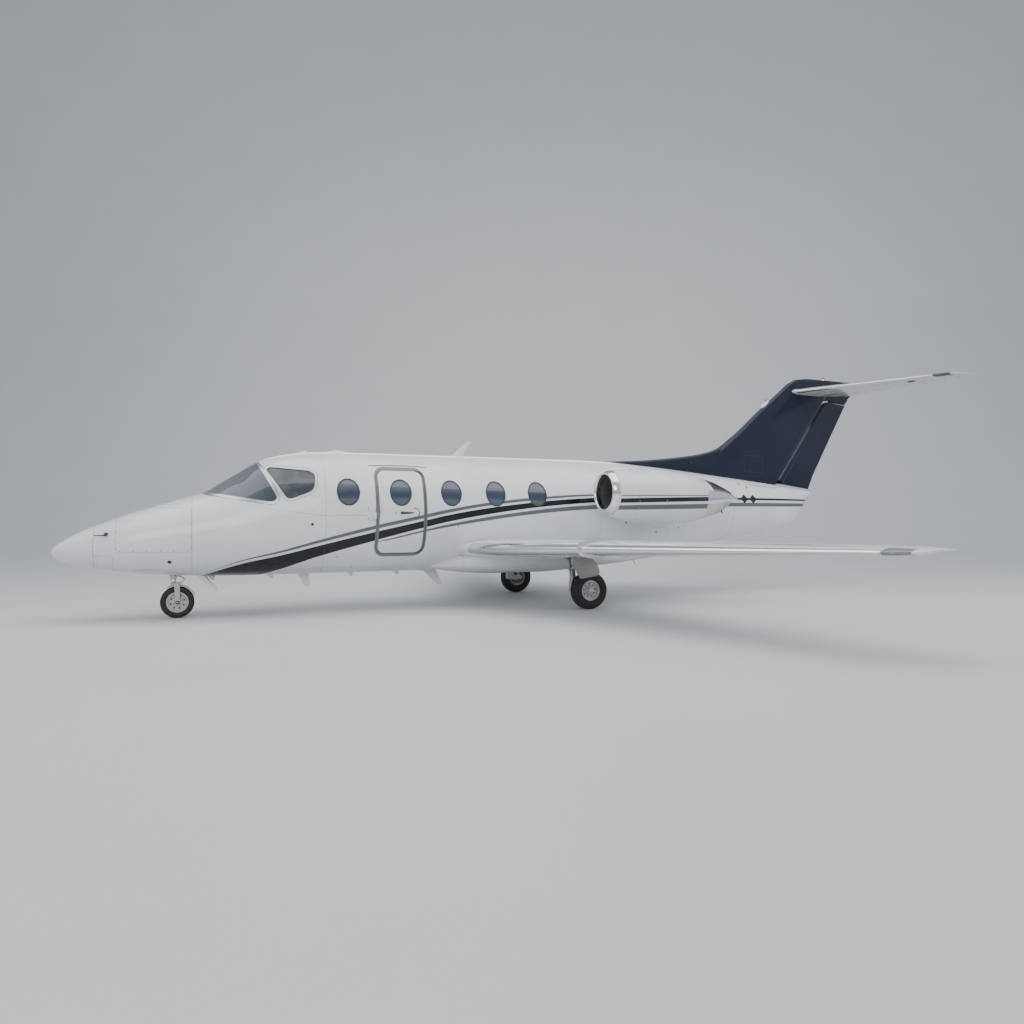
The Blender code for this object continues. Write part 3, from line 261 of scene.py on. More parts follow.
def skin_ring(station, inset=0.0, sides=ROUND):
    top, bottom, half, wide, power = flowing(SKIN, station)
    angle = 2 * np.pi * np.arange(sides) / sides
    across, up = np.cos(angle), np.sin(angle)
    shape = np.where(up > 0, 2 / power, 1.0)
    rise = np.where(up > 0, top - wide - inset, wide - bottom - inset)
    out = (half - inset) * np.sign(across) * np.abs(across) ** shape
    height = wide + rise * np.sign(up) * np.abs(up) ** shape
    return [(station + NOSE_X, a, b) for a, b in zip(out, height)]


def skin_out(station, height, inset=0.0):
    """How far out the fuselage's side is at a station and height."""
    top, bottom, half, wide, power = flowing(SKIN, station)
    rise = (top - wide - inset) if height > wide else (wide - bottom - inset)
    up = min(1.0, abs(height - wide) / rise)
    shape = power if height > wide else 2.0
    return (half - inset) * (1 - up ** shape) ** (1 / shape)


def spaced(start, end, step):
    return list(np.linspace(start, end, max(2, int(round((end - start) / step)) + 1)))


def closed(name, outer, finish=None, inner=(), lining=None, caps=(True, True)):
    """A solid through rings of points; with inner rings it is hollow, and open at an end that has no cap."""
    count = len(outer[0])
    points = [point for ring in outer for point in ring]
    faces, kinds = [], []

    def wrap(first, second, kind):
        for i in range(count):
            j = (i + 1) % count
            faces.append((first + i, first + j, second + j, second + i))
            kinds.append(kind)

    for k in range(len(outer) - 1):
        wrap(k * count, (k + 1) * count, 0)
    ends = [0, (len(outer) - 1) * count]
    base = len(points)
    points += [point for ring in inner for point in ring]
    for k in range(len(inner) - 1):
        wrap(base + k * count, base + (k + 1) * count, 1)
    for end, cap in zip((0, 1), caps):
        far = base + (len(inner) - 1) * count * end
        if inner and not cap:
            wrap(ends[end], far, 1)
        else:
            faces.append(range(ends[end], ends[end] + count))
            kinds.append(0)
            if inner:
                faces.append(range(far, far + count))
                kinds.append(1)
    piece = mesh_piece(name, points, faces, finish)
    if lining:
        piece.data.materials.append(lining.material)
        piece.data.polygons.foreach_set("material_index", kinds)
    shape = bmesh.new()
    shape.from_mesh(piece.data)
    bmesh.ops.recalc_face_normals(shape, faces=shape.faces)
    shape.to_mesh(piece.data)
    shape.free()
    piece.data.update()
    return piece


def sleeve(name, outer, inner, finish):
    """A hollow piece that is open at both ends."""
    return closed(name, outer, finish, inner, None, (False, False))


def side_block(outline, y1, y2, name="cutter", finish=None):
    """A side-view outline of (station, height) corners carried sideways from one y to another."""
    return closed(name, [[(station + NOSE_X, y, z) for station, z in outline] for y in sorted((y1, y2))],
                  finish)


def block(low, high, name="cutter", finish=None):
    return side_block(((low[0], low[2]), (high[0], low[2]), (high[0], high[2]), (low[0], high[2])),
                      low[1], high[1], name, finish)


def carve(piece, operation, *others):
    """Join, cut or keep the piece with others, which are used up."""
    for other in others:
        change = piece.modifiers.new("carve", "BOOLEAN")
        change.operation, change.object, change.solver = operation, other, "EXACT"
        if not other.data.materials and piece.data.materials:
            other.data.materials.append(piece.data.materials[-1])
    graph = bpy.context.evaluated_depsgraph_get()
    graph.update()
    shaped = bpy.data.meshes.new_from_object(piece.evaluated_get(graph))
    piece.modifiers.clear()
    piece.data = shaped
    for other in others:
        bpy.data.objects.remove(other, do_unlink=True)
    return piece


def smooth_guide(piece):
    """The unbroken surface of a piece before it is cut, to take its shading from afterwards."""
    mesh = piece.data
    places = [vertex.co.copy() for vertex in mesh.vertices]
    faces = [tuple(face.vertices) for face in mesh.polygons]
    return BVHTree.FromPolygons(places, faces), places, [v.normal.copy() for v in mesh.vertices], faces


def shade_like(piece, *guides, likeness=0.90):
    """Shade a cut piece as the smooth surfaces that it was cut from, and its cut edges flat."""
    mesh = piece.data
    mesh.shade_smooth()
    known = {}
    wanted = [None] * len(mesh.loops)
    for face in mesh.polygons:
        for loop in face.loop_indices:
            corner = mesh.loops[loop].vertex_index
            if corner not in known:
                known[corner] = []
                at = mesh.vertices[corner].co
                for tree, places, normals, faces in guides:
                    _, _, found, distance = tree.find_nearest(at)
                    if found is not None and distance < 0.0008 and len(faces[found]) == 4:
                        total = Vector()
                        for i in faces[found]:
                            total += normals[i] / ((places[i] - at).length_squared + 1e-8)
                        known[corner].append(total.normalized())
            best = max(known[corner], key=face.normal.dot, default=None)
            near = best is not None and best.dot(face.normal) > likeness
            wanted[loop] = best if near else face.normal.copy()
    mesh.normals_split_custom_set(wanted)


def settle(piece, slot, *nodes, body="airframe"):
    """The piece moves with a body and stands for the nodes it replaces, which are hidden; slot is not used.
    """
    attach(piece, body)
    if nodes:
        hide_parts(*nodes)
    return piece


STRIPES = (   # station, then heights: upper grey top and foot, black top and foot, lower grey top and foot
    (1.70, 0.560, 0.560, 0.530, 0.400, 0.400, 0.400), (1.95, 0.660, 0.655, 0.630, 0.440, 0.440, 0.440),
    (2.40, 0.832, 0.815, 0.778, 0.520, 0.500, 0.500), (2.90, 0.957, 0.925, 0.888, 0.672, 0.640, 0.640),
    (3.40, 1.100, 1.056, 1.016, 0.852, 0.820, 0.820), (4.20, 1.306, 1.252, 1.210, 1.080, 1.056, 1.052),
    (4.40, 1.351, 1.296, 1.255, 1.134, 1.103, 1.084), (4.98, 1.473, 1.419, 1.384, 1.279, 1.243, 1.212),
    (5.36, 1.553, 1.500, 1.467, 1.364, 1.327, 1.283), (5.92, 1.645, 1.595, 1.561, 1.463, 1.424, 1.368),
    (6.50, 1.713, 1.667, 1.634, 1.545, 1.505, 1.445), (7.12, 1.767, 1.729, 1.697, 1.613, 1.574, 1.509),
    (7.76, 1.803, 1.773, 1.740, 1.662, 1.622, 1.552), (8.60, 1.812, 1.792, 1.772, 1.705, 1.662, 1.592),
    (10.0, 1.800, 1.796, 1.786, 1.735, 1.690, 1.616), (11.2, 1.796, 1.796, 1.788, 1.744, 1.695, 1.622),
    (13.4, 1.780, 1.780, 1.774, 1.745, 1.697, 1.636))
WINDOWS = (3.820, 4.595, 5.385, 6.115, 6.835)
WINDOW = (1.794, 0.158, 0.192)      # height of the middle, half length, half height
WHITE_PAINT = ((0.800, 0.820, 0.845), (0.735, 0.750, 0.765))
BLACK_PAINT, GREY_PAINT, BAND_PAINT = (0.008, 0.009, 0.013), (0.120, 0.128, 0.140), (0.170, 0.180, 0.195)
NAVY_PAINT, SEAM, RED_PAINT = (0.007, 0.009, 0.020), (0.09, 0.09, 0.10), (0.26, 0.012, 0.035)


def boxed(p, low, high, radius):
    """How far outside a rounded rectangle of the side view a point lies, in metres."""
    a = abs(p.station - (low[0] + high[0]) / 2) - ((high[0] - low[0]) / 2 - radius)
    b = abs(p.z - (low[1] + high[1]) / 2) - ((high[1] - low[1]) / 2 - radius)
    outside = (a | 0.0) * (a | 0.0) + (b | 0.0) * (b | 0.0)
    return outside.math("SQRT", outside) + ((a | b) & 0.0) - radius


def gloss(p, tone, dirt=0.0, clear=0.75):
    """Two-part aircraft enamel: deep clear gloss, faint waviness, a little dirt."""
    p.set(Base_Color=tone, Roughness=p.noise(3.0, 4.0).ramp(0.2, 0.9) * 0.07 + 0.20 + dirt * 0.3,
          Coat_Weight=clear, Coat_Roughness=0.035, Specular_Ior_Level=0.30, IOR=1.46)
    p.bump(p.noise(1.7, 1.0, 0.4, (1, 1.5, 1.5)), 0.10, 0.006)
    return p


SEAM_HALF = 0.0019        # half the width of a filled joint between two skins
JOINTS = (1.742, 3.500, 8.000, 9.780, 11.05)
PANELS = (((0.800, 0.955), (1.735, 1.560)), ((9.05, 0.93), (9.42, 1.25)), ((8.35, 0.80), (8.62, 1.02)),
          ((0.530, 0.60), (0.765, 0.915)))
NAVY_FOOT = ((8.0, 2.46), (8.45, 2.412), (9.0, 2.376), (10.06, 2.285), (10.85, 2.205), (12.4, 2.062),
             (13.4, 1.940))


def fuselage_paint(name, navy_foot):
    """White gloss with its stripes and joints, and the navy of the fin's foot or the door's band and arc."""
    p = Finish(name)
    tone = p.mix(p.noise(1.3, 2.0).ramp(0.3, 0.7), *WHITE_PAINT)
    # Part grime, part painted shade: below a height of 0.95 the skin is painted darker and warmer in noisy
    # streaks, for its shaded underside.
    dirt = p.z.ramp(0.95, 0.55) * p.noise(7.0, 6.0, 0.65, (0.25, 1, 1)).ramp(0.35, 0.75)
    tone = p.mix(dirt * 0.5, tone, (0.36, 0.34, 0.31))
    edges = [p.curve(p.station, [(row[0], row[i]) for row in STRIPES], (1.7, 13.4), (0.4, 2.0))
             for i in range(1, 7)]
    clear = 0.75
    for top, foot, colour in ((0, 1, GREY_PAINT), (2, 3, BLACK_PAINT), (4, 5, GREY_PAINT)):
        stripe = (p.z < edges[top]) * (p.z > edges[foot]) * (p.station > 1.75)
        tone = p.mix(stripe, tone, colour)
        clear = clear - stripe * 0.40
    lines = abs(p.station - 0.530) < 0.0022
    for at in JOINTS:
        lines = lines | (abs(p.station - at) < SEAM_HALF)
    for low, high in PANELS:
        lines = lines | (abs(boxed(p, low, high, 0.03)) < SEAM_HALF)
    lines = lines | ((abs(p.z - 1.455) < SEAM_HALF) * p.station.within(3.40, 4.10))
    slanted = p.z - 1.530 + (p.station - 2.85) * 0.125
    lines = lines | ((abs(slanted) < SEAM_HALF) * p.station.within(2.60, 3.50))
    tone = p.mix(lines * 0.75, tone, SEAM)
    if navy_foot:
        foot = p.curve(p.station, NAVY_FOOT, (8.0, 13.4), (1.8, 2.6))
        tone = p.mix(p.z > foot + 0.004, tone, NAVY_PAINT)
        for at in (11.33, 11.57):
            tone = p.mix(abs(p.station - at) / 0.105 + abs(p.z - 1.765) / 0.088 < 1.0, tone, BLACK_PAINT)
    else:
        band = boxed(p, (4.213, 0.840), (4.993, 2.183), 0.165)
        port = p.y < 0.0
        tone = p.mix(band.within(-0.052, 0.0) * port, tone, BAND_PAINT)
        tone = p.mix((band.within(-0.004, 0.0) | band.within(-0.056, -0.052)) * port, tone, SEAM)
        across, up = p.station - 4.797, p.z - 1.491
        away = across * across + up * up
        arc = (abs(away.math("SQRT", away) - 0.072) < 0.0065) * (across > 0.004)
        head = across.within(-0.020, 0.006) * (abs(abs(up) - 0.072) < (across + 0.022) * 0.6)
        tone = p.mix((arc | head) * port, tone, RED_PAINT)
        tick = (abs(p.station - 4.098) < 0.005) * ((abs(p.z - 1.552) < 0.024) | (abs(p.z - 1.408) < 0.024))
        cover = (abs(p.z - 1.520) < SEAM_HALF) | (abs(p.z - 1.378) < SEAM_HALF)
        tone = p.mix((tick | cover * p.station.within(4.098, 4.213)) * port * 0.8, tone, SEAM)
    return gloss(p, tone, dirt, clear)


def mottled(name, grain, tones, rough=None, ripple=None, **sockets):
    """A finish that wanders between two tones; rough and ripple open with their own noise's settings."""
    p = Finish(name, **sockets)
    p.set(Base_Color=p.mix(p.noise(*grain), *tones))
    if rough:
        cloud, span, swing, least = rough
        p.set(Roughness=p.noise(*cloud).ramp(*span) * swing + least)
    if ripple:
        cloud, strength, distance = ripple
        p.bump(p.noise(*cloud), strength, distance)
    return p


body_paint = fuselage_paint("body_paint", False)
cabin_lining = mottled("cabin_lining", (60, 4), ((0.52, 0.49, 0.44), (0.60, 0.57, 0.52)), None,
                       ((400, 2), 0.2, 0.001), Roughness=0.8)

tip = [0.0, 0.006, 0.015, 0.03, 0.05, 0.08, 0.12]
radome = closed("radome_skin", [skin_ring(s) for s in tip + spaced(0.16, 0.5798, 0.03)], body_paint)
shade_like(radome, smooth_guide(radome), likeness=0.6)
settle(radome, "nose_plastic", "radome")

nose = closed("nose_skin", [skin_ring(s) for s in spaced(0.5802, 1.7398, 0.04)], body_paint)
guide = smooth_guide(nose)
carve(nose, "DIFFERENCE", block((1.270, -0.125, 0.40), (1.700, 0.125, 1.000)))
shade_like(nose, guide)
settle(nose, "white_skin", "nose_section")

# The cockpit: the same painted skin over frames, with two big curved windshields and a side window each
# side, held in riveted strips, and the lining inside.
WINDSHIELD = ((1.935, 1.772), (2.700, 1.642), (2.800, 1.640), (2.855, 1.700), (2.620, 2.190),
              (2.550, 2.330), (1.800, 1.860))
SIDE_WINDOW = ((2.715, 2.105), (2.760, 2.150), (3.300, 2.098), (3.370, 2.040), (3.345, 1.850),
               (3.290, 1.795), (3.050, 1.695), (2.975, 1.690))
SIDES = ((-1, "left"), (1, "right"))


def eased(outline, radius, steps=5):
    """An outline with its corners rounded off."""
    made = []
    for i, corner in enumerate(outline):
        here = Vector(corner)
        before, after = Vector(outline[i - 1]) - here, Vector(outline[(i + 1) % len(outline)]) - here
        reach = min(radius, before.length * 0.45, after.length * 0.45)
        a, b = here + before.normalized() * reach, here + after.normalized() * reach
        for k in range(steps + 1):
            t = k / steps
            made.append(tuple(a * (1 - t) ** 2 + here * 2 * t * (1 - t) + b * t ** 2))
    return made


def grown(outline, by):
    """An outline moved outwards, or inwards where by is below nought."""
    count = len(outline)
    area = sum(outline[i - 1][0] * outline[i][1] - outline[i][0] * outline[i - 1][1] for i in range(count))
    turn = math.copysign(1, area)
    made = []
    for i in range(count):
        first = (Vector(outline[i]) - Vector(outline[i - 1])).normalized()
        second = (Vector(outline[(i + 1) % count]) - Vector(outline[i])).normalized()
        out = Vector((first.y + second.y, -first.x - second.x)).normalized() * turn
        cosine = max(0.5, abs(out.dot(Vector((first.y, -first.x)))))
        made.append(tuple(Vector(outline[i]) + out * by / cosine))
    return made


def oval(station, height, long, tall, corners=48):
    angles = [2 * math.pi * i / corners for i in range(corners)]
    return [(station + long * math.cos(a), height + tall * math.sin(a)) for a in angles]


def skin_sheet(name, outline, side, reach, inset, thick, finish, hole=None, near=0.0222, hole_near=0.0222,
               step=0.025):
    """A patch of skin-shaped sheet: a pane, a frame round one, or a door's skin."""
    rows = spaced(*reach, step)
    sheet = sleeve(name, [skin_ring(s, inset) for s in rows], [skin_ring(s, inset + thick) for s in rows],
                   finish)
    guide = smooth_guide(sheet)
    carve(sheet, "INTERSECT", side_block(outline, side * near, side * 1.2))
    if hole:
        carve(sheet, "DIFFERENCE", side_block(hole, side * hole_near, side * 1.2))
    shade_like(sheet, guide)
    return sheet


shield, side_light = eased(WINDSHIELD, 0.045), eased(SIDE_WINDOW, 0.05)
rows = spaced(1.7402, 3.4998, 0.036)
cockpit = closed("cockpit_skin", [skin_ring(s) for s in rows], body_paint,
                 [skin_ring(s, 0.06) for s in spaced(1.80, 3.4998, 0.05)], cabin_lining, (True, False))
guide = smooth_guide(cockpit)
for side, word in SIDES:
    holes = [side_block(hole, side * 0.022, side * 1.2) for hole in (shield, side_light)]
    carve(cockpit, "DIFFERENCE", *holes)
shade_like(cockpit, guide)
settle(cockpit, "white_skin", "cockpit_shell")

windshield_glass = Finish("windshield_glass", Roughness=0.03, Alpha=0.60, IOR=1.52, Coat_Weight=0.9,
                          Coat_Roughness=0.02)
aft = windshield_glass.station * 0.8 - windshield_glass.z * 0.6
windshield_glass.set(Base_Color=windshield_glass.mix(aft.ramp(0.45, 1.25), (0.200, 0.230, 0.280),
                                                     (0.050, 0.062, 0.085)))
glass = Finish("acrylic_pane", Roughness=0.03, Alpha=0.80, IOR=1.49, Coat_Weight=0.6, Coat_Roughness=0.02)
haze = glass.noise(5.0, 2.0, 0.5, (0.5, 1, 1)).ramp(0.3, 0.7)
# Painted reflection: the cabin panes are lighter at the top and foot and dark blue between, with a noisy
# edge, standing for reflections of the surroundings.
tone = glass.mix((glass.z + haze * 0.03).ramp(1.80, 1.90), (0.038, 0.054, 0.105), (0.150, 0.165, 0.195))
tone = glass.mix((glass.z + haze * 0.03).ramp(1.745, 1.700), tone, (0.105, 0.125, 0.140))
glass.set(Base_Color=tone)
cockpit_glass = Finish("side_window_glass", Roughness=0.03, Alpha=0.66, IOR=1.52, Coat_Weight=0.8,
                       Coat_Roughness=0.02)
haze = cockpit_glass.noise(6.0, 3.0).ramp(0.35, 0.65)
cockpit_glass.set(Base_Color=cockpit_glass.mix(haze, (0.045, 0.052, 0.066), (0.120, 0.132, 0.152)))
strip_metal = mottled("riveted_strip", (14, 4), ((0.50, 0.51, 0.53), (0.66, 0.67, 0.69)),
                      ((30, 3), (0.2, 0.8), 0.15, 0.22), ((180, 3, 0.6, (4, 1, 1)), 0.06, 0.001),
                      Metallic=1.0)
seal_rubber = mottled("window_seal", (90, 3), ((0.018, 0.019, 0.021), (0.040, 0.042, 0.045)), None,
                      ((500, 2), 0.15, 0.0006), Roughness=0.62)


def studs(name, places, radius, finish):
    """Domed rivet heads, each at a point with the way it faces."""
    points, faces = [], []
    for at, out in places:
        out = Vector(out).normalized()
        turn = Vector((0, 0, 1)).rotation_difference(out).to_matrix()
        base = len(points)
        for share, rise in ((1.0, -0.1), (0.75, 0.30), (0.0, 0.45)):
            for i in range(8 if share else 1):
                angle = math.pi * i / 4
                points.append(Vector(at) + turn @ Vector((radius * share * math.cos(angle),
                                                          radius * share * math.sin(angle), radius * rise)))
        for i in range(8):
            j = (i + 1) % 8
            faces += [(base + i, base + j, base + 8 + j, base + 8 + i),
                      (base + 8 + i, base + 8 + j, base + 16)]
        faces.append([base + i for i in reversed(range(8))])
    return mesh_piece(name, points, faces, finish)


def skin_stud(station, height, side, lift=0.0):
    """A point on the fuselage's side with the way that the skin faces there."""
    at = Vector((station + NOSE_X, side * (skin_out(station, height) + lift), height))
    a = Vector((station + 0.004 + NOSE_X, side * skin_out(station + 0.004, height), height))
    b = Vector((station + NOSE_X, side * skin_out(station, height + 0.004), height + 0.004))
    out = (a - at).cross(b - at)
    return at, out * math.copysign(1, out.y * side)


def along(outline, pitch):
    """Points spaced along a closed outline."""
    made, carried = [], 0.0
    for a, b in zip(outline, outline[1:] + outline[:1]):
        a, b = Vector(a), Vector(b)
        length = (b - a).length
        while carried < length:
            made.append(tuple(a + (b - a) * (carried / max(length, 1e-9))))
            carried += pitch
        carried -= length
    return made


for side, word in SIDES:
    for label, edge, reach, tint in (("windshield", shield, (1.78, 3.00), windshield_glass),
                                     ("side_window", side_light, (2.60, 3.46), cockpit_glass)):
        pane = skin_sheet(label + "_pane_" + word, grown(edge, -0.001), side, reach, 0.003, 0.027, tint)
        settle(pane, "glass", label + "_" + word)
    strip = skin_sheet("windshield_strip_" + word, grown(shield, 0.030), side, (1.72, 3.00), -0.0025, 0.004,
                       strip_metal, grown(shield, -0.010), 0.0005, 0.030)
    settle(strip, "polished_skin")
    for label, outer, inner, reach, inset, thick, finish, slot in (
            ("rim", 0.034, 0.012, (2.55, 3.48), -0.006, 0.008, body_paint, "white_skin"),
            ("bezel", 0.012, 0.001, (2.55, 3.48), -0.004, 0.006, strip_metal, "polished_skin"),
            ("seal", 0.001, -0.009, (2.60, 3.46), -0.002, 0.006, seal_rubber, "tyre")):
        frame_ring = skin_sheet("side_window_%s_%s" % (label, word), grown(side_light, outer), side, reach,
                                inset, thick, finish, grown(side_light, inner), step=0.02)
        settle(frame_ring, slot)
    for label, edge, reach, near, line in (("windshield", shield, (1.70, 3.02), 0.0005, 0.030),
                                           ("side_window", side_light, (2.50, 3.5), 0.022, 0.034)):
        bead = skin_sheet(label + "_bead_" + word, grown(edge, line + 0.005), side, reach, -0.0012, 0.003,
                          seal_rubber, grown(edge, line), near)
        settle(bead, "tyre")
    heads = []
    for station, height in along(grown(shield, 0.017), 0.038):
        top = flowing(SKIN, station)[0]
        if height < top - 0.004 and skin_out(station, height) > 0.03:
            heads.append(skin_stud(station, height, side, 0.0025))
    settle(studs("windshield_rivets_" + word, heads, 0.0038, strip_metal), "polished_skin")

# The cabin: a pressurised tube with five oval windows a side, lined inside, and on the left the doorway with
# a land all round that the door shuts against.
DOOR, DOORWAY, DOOR_MIDDLE = (4.240, 4.950, 0.885, 2.125), (4.290, 4.900, 0.905, 2.075), 1.505
DOOR_NUMBER = 2           # the door stands in the place of the second window on the left
HINGE_STATION, HINGE_OUT = 4.235, 0.862


def round_box(low_x, high_x, low_z, high_z, radius, steps=8):
    """A box of the side view with rounded corners."""
    made = []
    for cx, cz, start in ((high_x, high_z, 0), (low_x, high_z, 90), (low_x, low_z, 180),
                          (high_x, low_z, 270)):
        centre_x = cx - math.copysign(radius, cx - (low_x + high_x) / 2)
        centre_z = cz - math.copysign(radius, cz - (low_z + high_z) / 2)
        turns = [math.radians(start + 90 * i / steps) for i in range(steps + 1)]
        made += [(centre_x + radius * math.cos(a), centre_z + radius * math.sin(a)) for a in turns]
    return made


def recess_corner(station, height, gap=0.006):
    """Where the doorway's edge stands clear of one corner of the swinging door."""
    raised = height + math.copysign(gap, height - DOOR_MIDDLE)
    if station < WINDOWS[1]:
        return station - gap, raised
    inboard = HINGE_OUT - skin_out(station, raised, 0.015)
    return HINGE_STATION + math.hypot(station - HINGE_STATION, inboard) + gap, raised


rows = spaced(3.5002, 7.9998, 0.05)
cabin = closed("cabin_skin", [skin_ring(s) for s in rows], body_paint,
               [skin_ring(s, 0.06) for s in spaced(3.5002, 7.94, 0.08)], cabin_lining, (False, True))
guide = smooth_guide(cabin)
for number, station in enumerate(WINDOWS, 1):
    hole = oval(station, *WINDOW)
    carve(cabin, "DIFFERENCE", side_block(hole, 0.02, 1.2))
    if number != DOOR_NUMBER:
        carve(cabin, "DIFFERENCE", side_block(hole, -1.2, -0.02))
door_edge = round_box(*DOOR, 0.13)
rows = spaced(4.0, 5.3, 0.05)
recess = sleeve("recess", [skin_ring(s, -0.02) for s in rows], [skin_ring(s, 0.021) for s in rows],
                body_paint)
carve(recess, "INTERSECT", side_block([recess_corner(*corner) for corner in door_edge], -1.2, -0.1))
carve(cabin, "DIFFERENCE", recess, side_block(round_box(*DOORWAY, 0.09), -1.2, -0.1))
shade_like(cabin, guide)
settle(cabin, "white_skin", "cabin_shell")

for number, station in enumerate(WINDOWS, 1):
    edge = oval(station, *WINDOW)
    for side, word in SIDES:
        on_door = number == DOOR_NUMBER and side < 0
        body = "cabin_door" if on_door else "airframe"
        label = "door" if on_door else "%s_%d" % (word, number)
        reach = (station - 0.18, station + 0.18)
        pane = skin_sheet("window_pane_" + label, grown(edge, -0.001), side, reach, 0.0025,
                          0.010 if on_door else 0.024, glass, step=0.03)
        settle(pane, "glass", "door_window" if on_door else "cabin_window_" + label, body=body)
        rim = skin_sheet("window_seal_" + label, grown(edge, 0.009), side, reach, -0.0012, 0.006, seal_rubber,
                         grown(edge, -0.010), step=0.03)
        settle(rim, "tyre", body=body)

# The cabin door: one curved panel with its own oval window, a lining, a flush handle and a small outside
# hinge at its forward edge, inside a grey painted band and under a drip rail.
door = skin_sheet("door_skin", door_edge, -1, (4.18, 5.0), 0.0, 0.015, body_paint,
                  oval(WINDOWS[1], *WINDOW), 0.1, 0.1)
settle(door, "white_skin", "cabin_door", body="cabin_door")
door_lining = skin_sheet("door_lining", round_box(4.330, 4.860, 0.940, 2.040, 0.08), -1, (4.28, 4.92),
                         0.0152, 0.030, cabin_lining,
                         oval(WINDOWS[1], WINDOW[0], WINDOW[1] - 0.012, WINDOW[2] - 0.012), 0.1, 0.1)
settle(door_lining, "cabin_trim", body="cabin_door")


def creased(piece, angle=40):
    """Smooth shading that breaks at edges sharper than an angle in degrees."""
    piece.data.shade_smooth()
    piece.data.set_sharp_from_angle(angle=math.radians(angle))
    return piece


def rounded_off(piece, width, above=28):
    """Break the sharp edges of a piece, as a file or a casting does."""
    shape = bmesh.new()
    shape.from_mesh(piece.data)
    bmesh.ops.dissolve_limit(shape, angle_limit=0.01, verts=shape.verts, edges=shape.edges)
    edges = [edge for edge in shape.edges if len(edge.link_faces) == 2
             and edge.calc_face_angle(0) > math.radians(above)]
    bmesh.ops.bevel(shape, geom=edges, offset=width, segments=2, profile=0.5, affect="EDGES",
                    clamp_overlap=True)
    shape.to_mesh(piece.data)
    shape.free()
    return creased(piece)


def rod(name, start, end, radius, finish=None, end_radius=None, sides=24, edge=0.0015):
    """A round bar between two points, each given as station, y and z."""
    a, b = Vector(start), Vector(end)
    a.x, b.x = a.x + NOSE_X, b.x + NOSE_X
    line = (b - a).normalized()
    turn = Vector((0, 0, 1)).rotation_difference(line).to_matrix()
    far = radius if end_radius is None else end_radius
    angles = [2 * math.pi * i / sides for i in range(sides)]
    circle = [Vector((math.cos(angle), math.sin(angle), 0)) for angle in angles]
    rings = [(a, radius - edge), (a + line * edge, radius), (b - line * edge, far), (b, far - edge)]
    if not edge:
        rings = [(a, radius), (b, far)]
    return creased(closed(name, [[at + turn @ (p * r) for p in circle] for at, r in rings], finish), 50)


def turned(name, profile, origin, axis, finish, sides=64, sharp=35):
    """A closed outline of (distance along, radius) corners turned round an axis."""
    turn = Vector((0, 0, 1)).rotation_difference(Vector(axis)).to_matrix()
    points, faces = [], []
    count = len(profile)
    for i in range(sides):
        angle = 2 * math.pi * i / sides
        points += [Vector(origin) + turn @ Vector((r * math.cos(angle), r * math.sin(angle), a))
                   for a, r in profile]
        for k in range(count):
            near, far, j = i * count, (i + 1) % sides * count, (k + 1) % count
            faces.append((near + k, near + j, far + j, far + k))
    piece = mesh_piece(name, points, faces, finish)
    shape = bmesh.new()
    shape.from_mesh(piece.data)
    bmesh.ops.remove_doubles(shape, verts=shape.verts, dist=1e-6)
    bmesh.ops.recalc_face_normals(shape, faces=shape.faces)
    shape.to_mesh(piece.data)
    shape.free()
    return creased(piece, sharp)


def merged(name, *pieces):
    """Several pieces as one object, each with its own finish."""
    with bpy.context.temp_override(active_object=pieces[0], selected_editable_objects=list(pieces)):
        bpy.ops.object.join()
    pieces[0].name = name
    pieces[0].data.name = name
    return pieces[0]


chrome = mottled("polished_metal", (9, 4), ((0.78, 0.78, 0.79), (0.88, 0.88, 0.88)),
                 ((22, 4, 0.6, (1, 3, 3)), (0.25, 0.85), 0.12, 0.06), ((3.0, 2), 0.05, 0.004), Metallic=1.0)
grip_grey = mottled("handle_enamel", (30, 4), ((0.040, 0.050, 0.052), (0.070, 0.082, 0.084)),
                    ((60, 3), (0.2, 0.8), 0.2, 0.30), Coat_Weight=0.3, Coat_Roughness=0.2)
plate_out = -skin_out(4.683, 1.488)
paddle = eased(((4.580, 1.472), (4.580, 1.512), (4.600, 1.514), (4.782, 1.502), (4.782, 1.484),
                (4.600, 1.470)), 0.008)
locks = [rod("lock", (station, plate_out - 0.0030, height), (station, plate_out + 0.006, height), radius,
             grip_grey)
         for station, height, radius in ((4.507, 1.491, 0.010), (4.703, 1.438, 0.007))]
handle = merged("door_handle", side_block(paddle, plate_out - 0.0030, plate_out + 0.004, "plate", grip_grey),
                side_block(grown(paddle, -0.008), plate_out - 0.0065, plate_out, "grip", grip_grey), *locks)
settle(rounded_off(handle, 0.0015), "polished_skin", body="cabin_door")
for label, body, foot, top, low, high in (
        ("fixed", "airframe", 1.40, 1.50, (4.175, -0.868, 1.402), (4.233, -0.815, 1.498)),
        ("moving", "cabin_door", 1.5003, 1.60, (4.237, -0.868, 1.502), (4.295, -0.832, 1.598))):
    knuckle = rod("knuckle", (HINGE_STATION, -HINGE_OUT, foot), (HINGE_STATION, -HINGE_OUT, top), 0.013,
                  body_paint)
    leaf = rounded_off(block(low, high, "leaf", body_paint), 0.003)
    settle(merged("door_hinge_" + label, knuckle, leaf), "white_skin", body=body)
rail = [(4.16 + 0.89 * t, 2.196 + 0.014 * math.sin(math.pi * t)) for t in np.linspace(0, 1, 16)]
gutter = ((-0.005, -0.004), (-0.007, 0.001), (0.010, 0.006), (0.012, -0.003))
# Painted shade: the rail is given the dark handle enamel so that it reads as the dark shadow line under it.
drip = closed("door_drip_rail", [[(s + NOSE_X, -skin_out(4.2, z) - 0.004 + a, z + b) for a, b in gutter]
                                 for s, z in rail], grip_grey)
settle(rounded_off(drip, 0.0012), "white_skin")

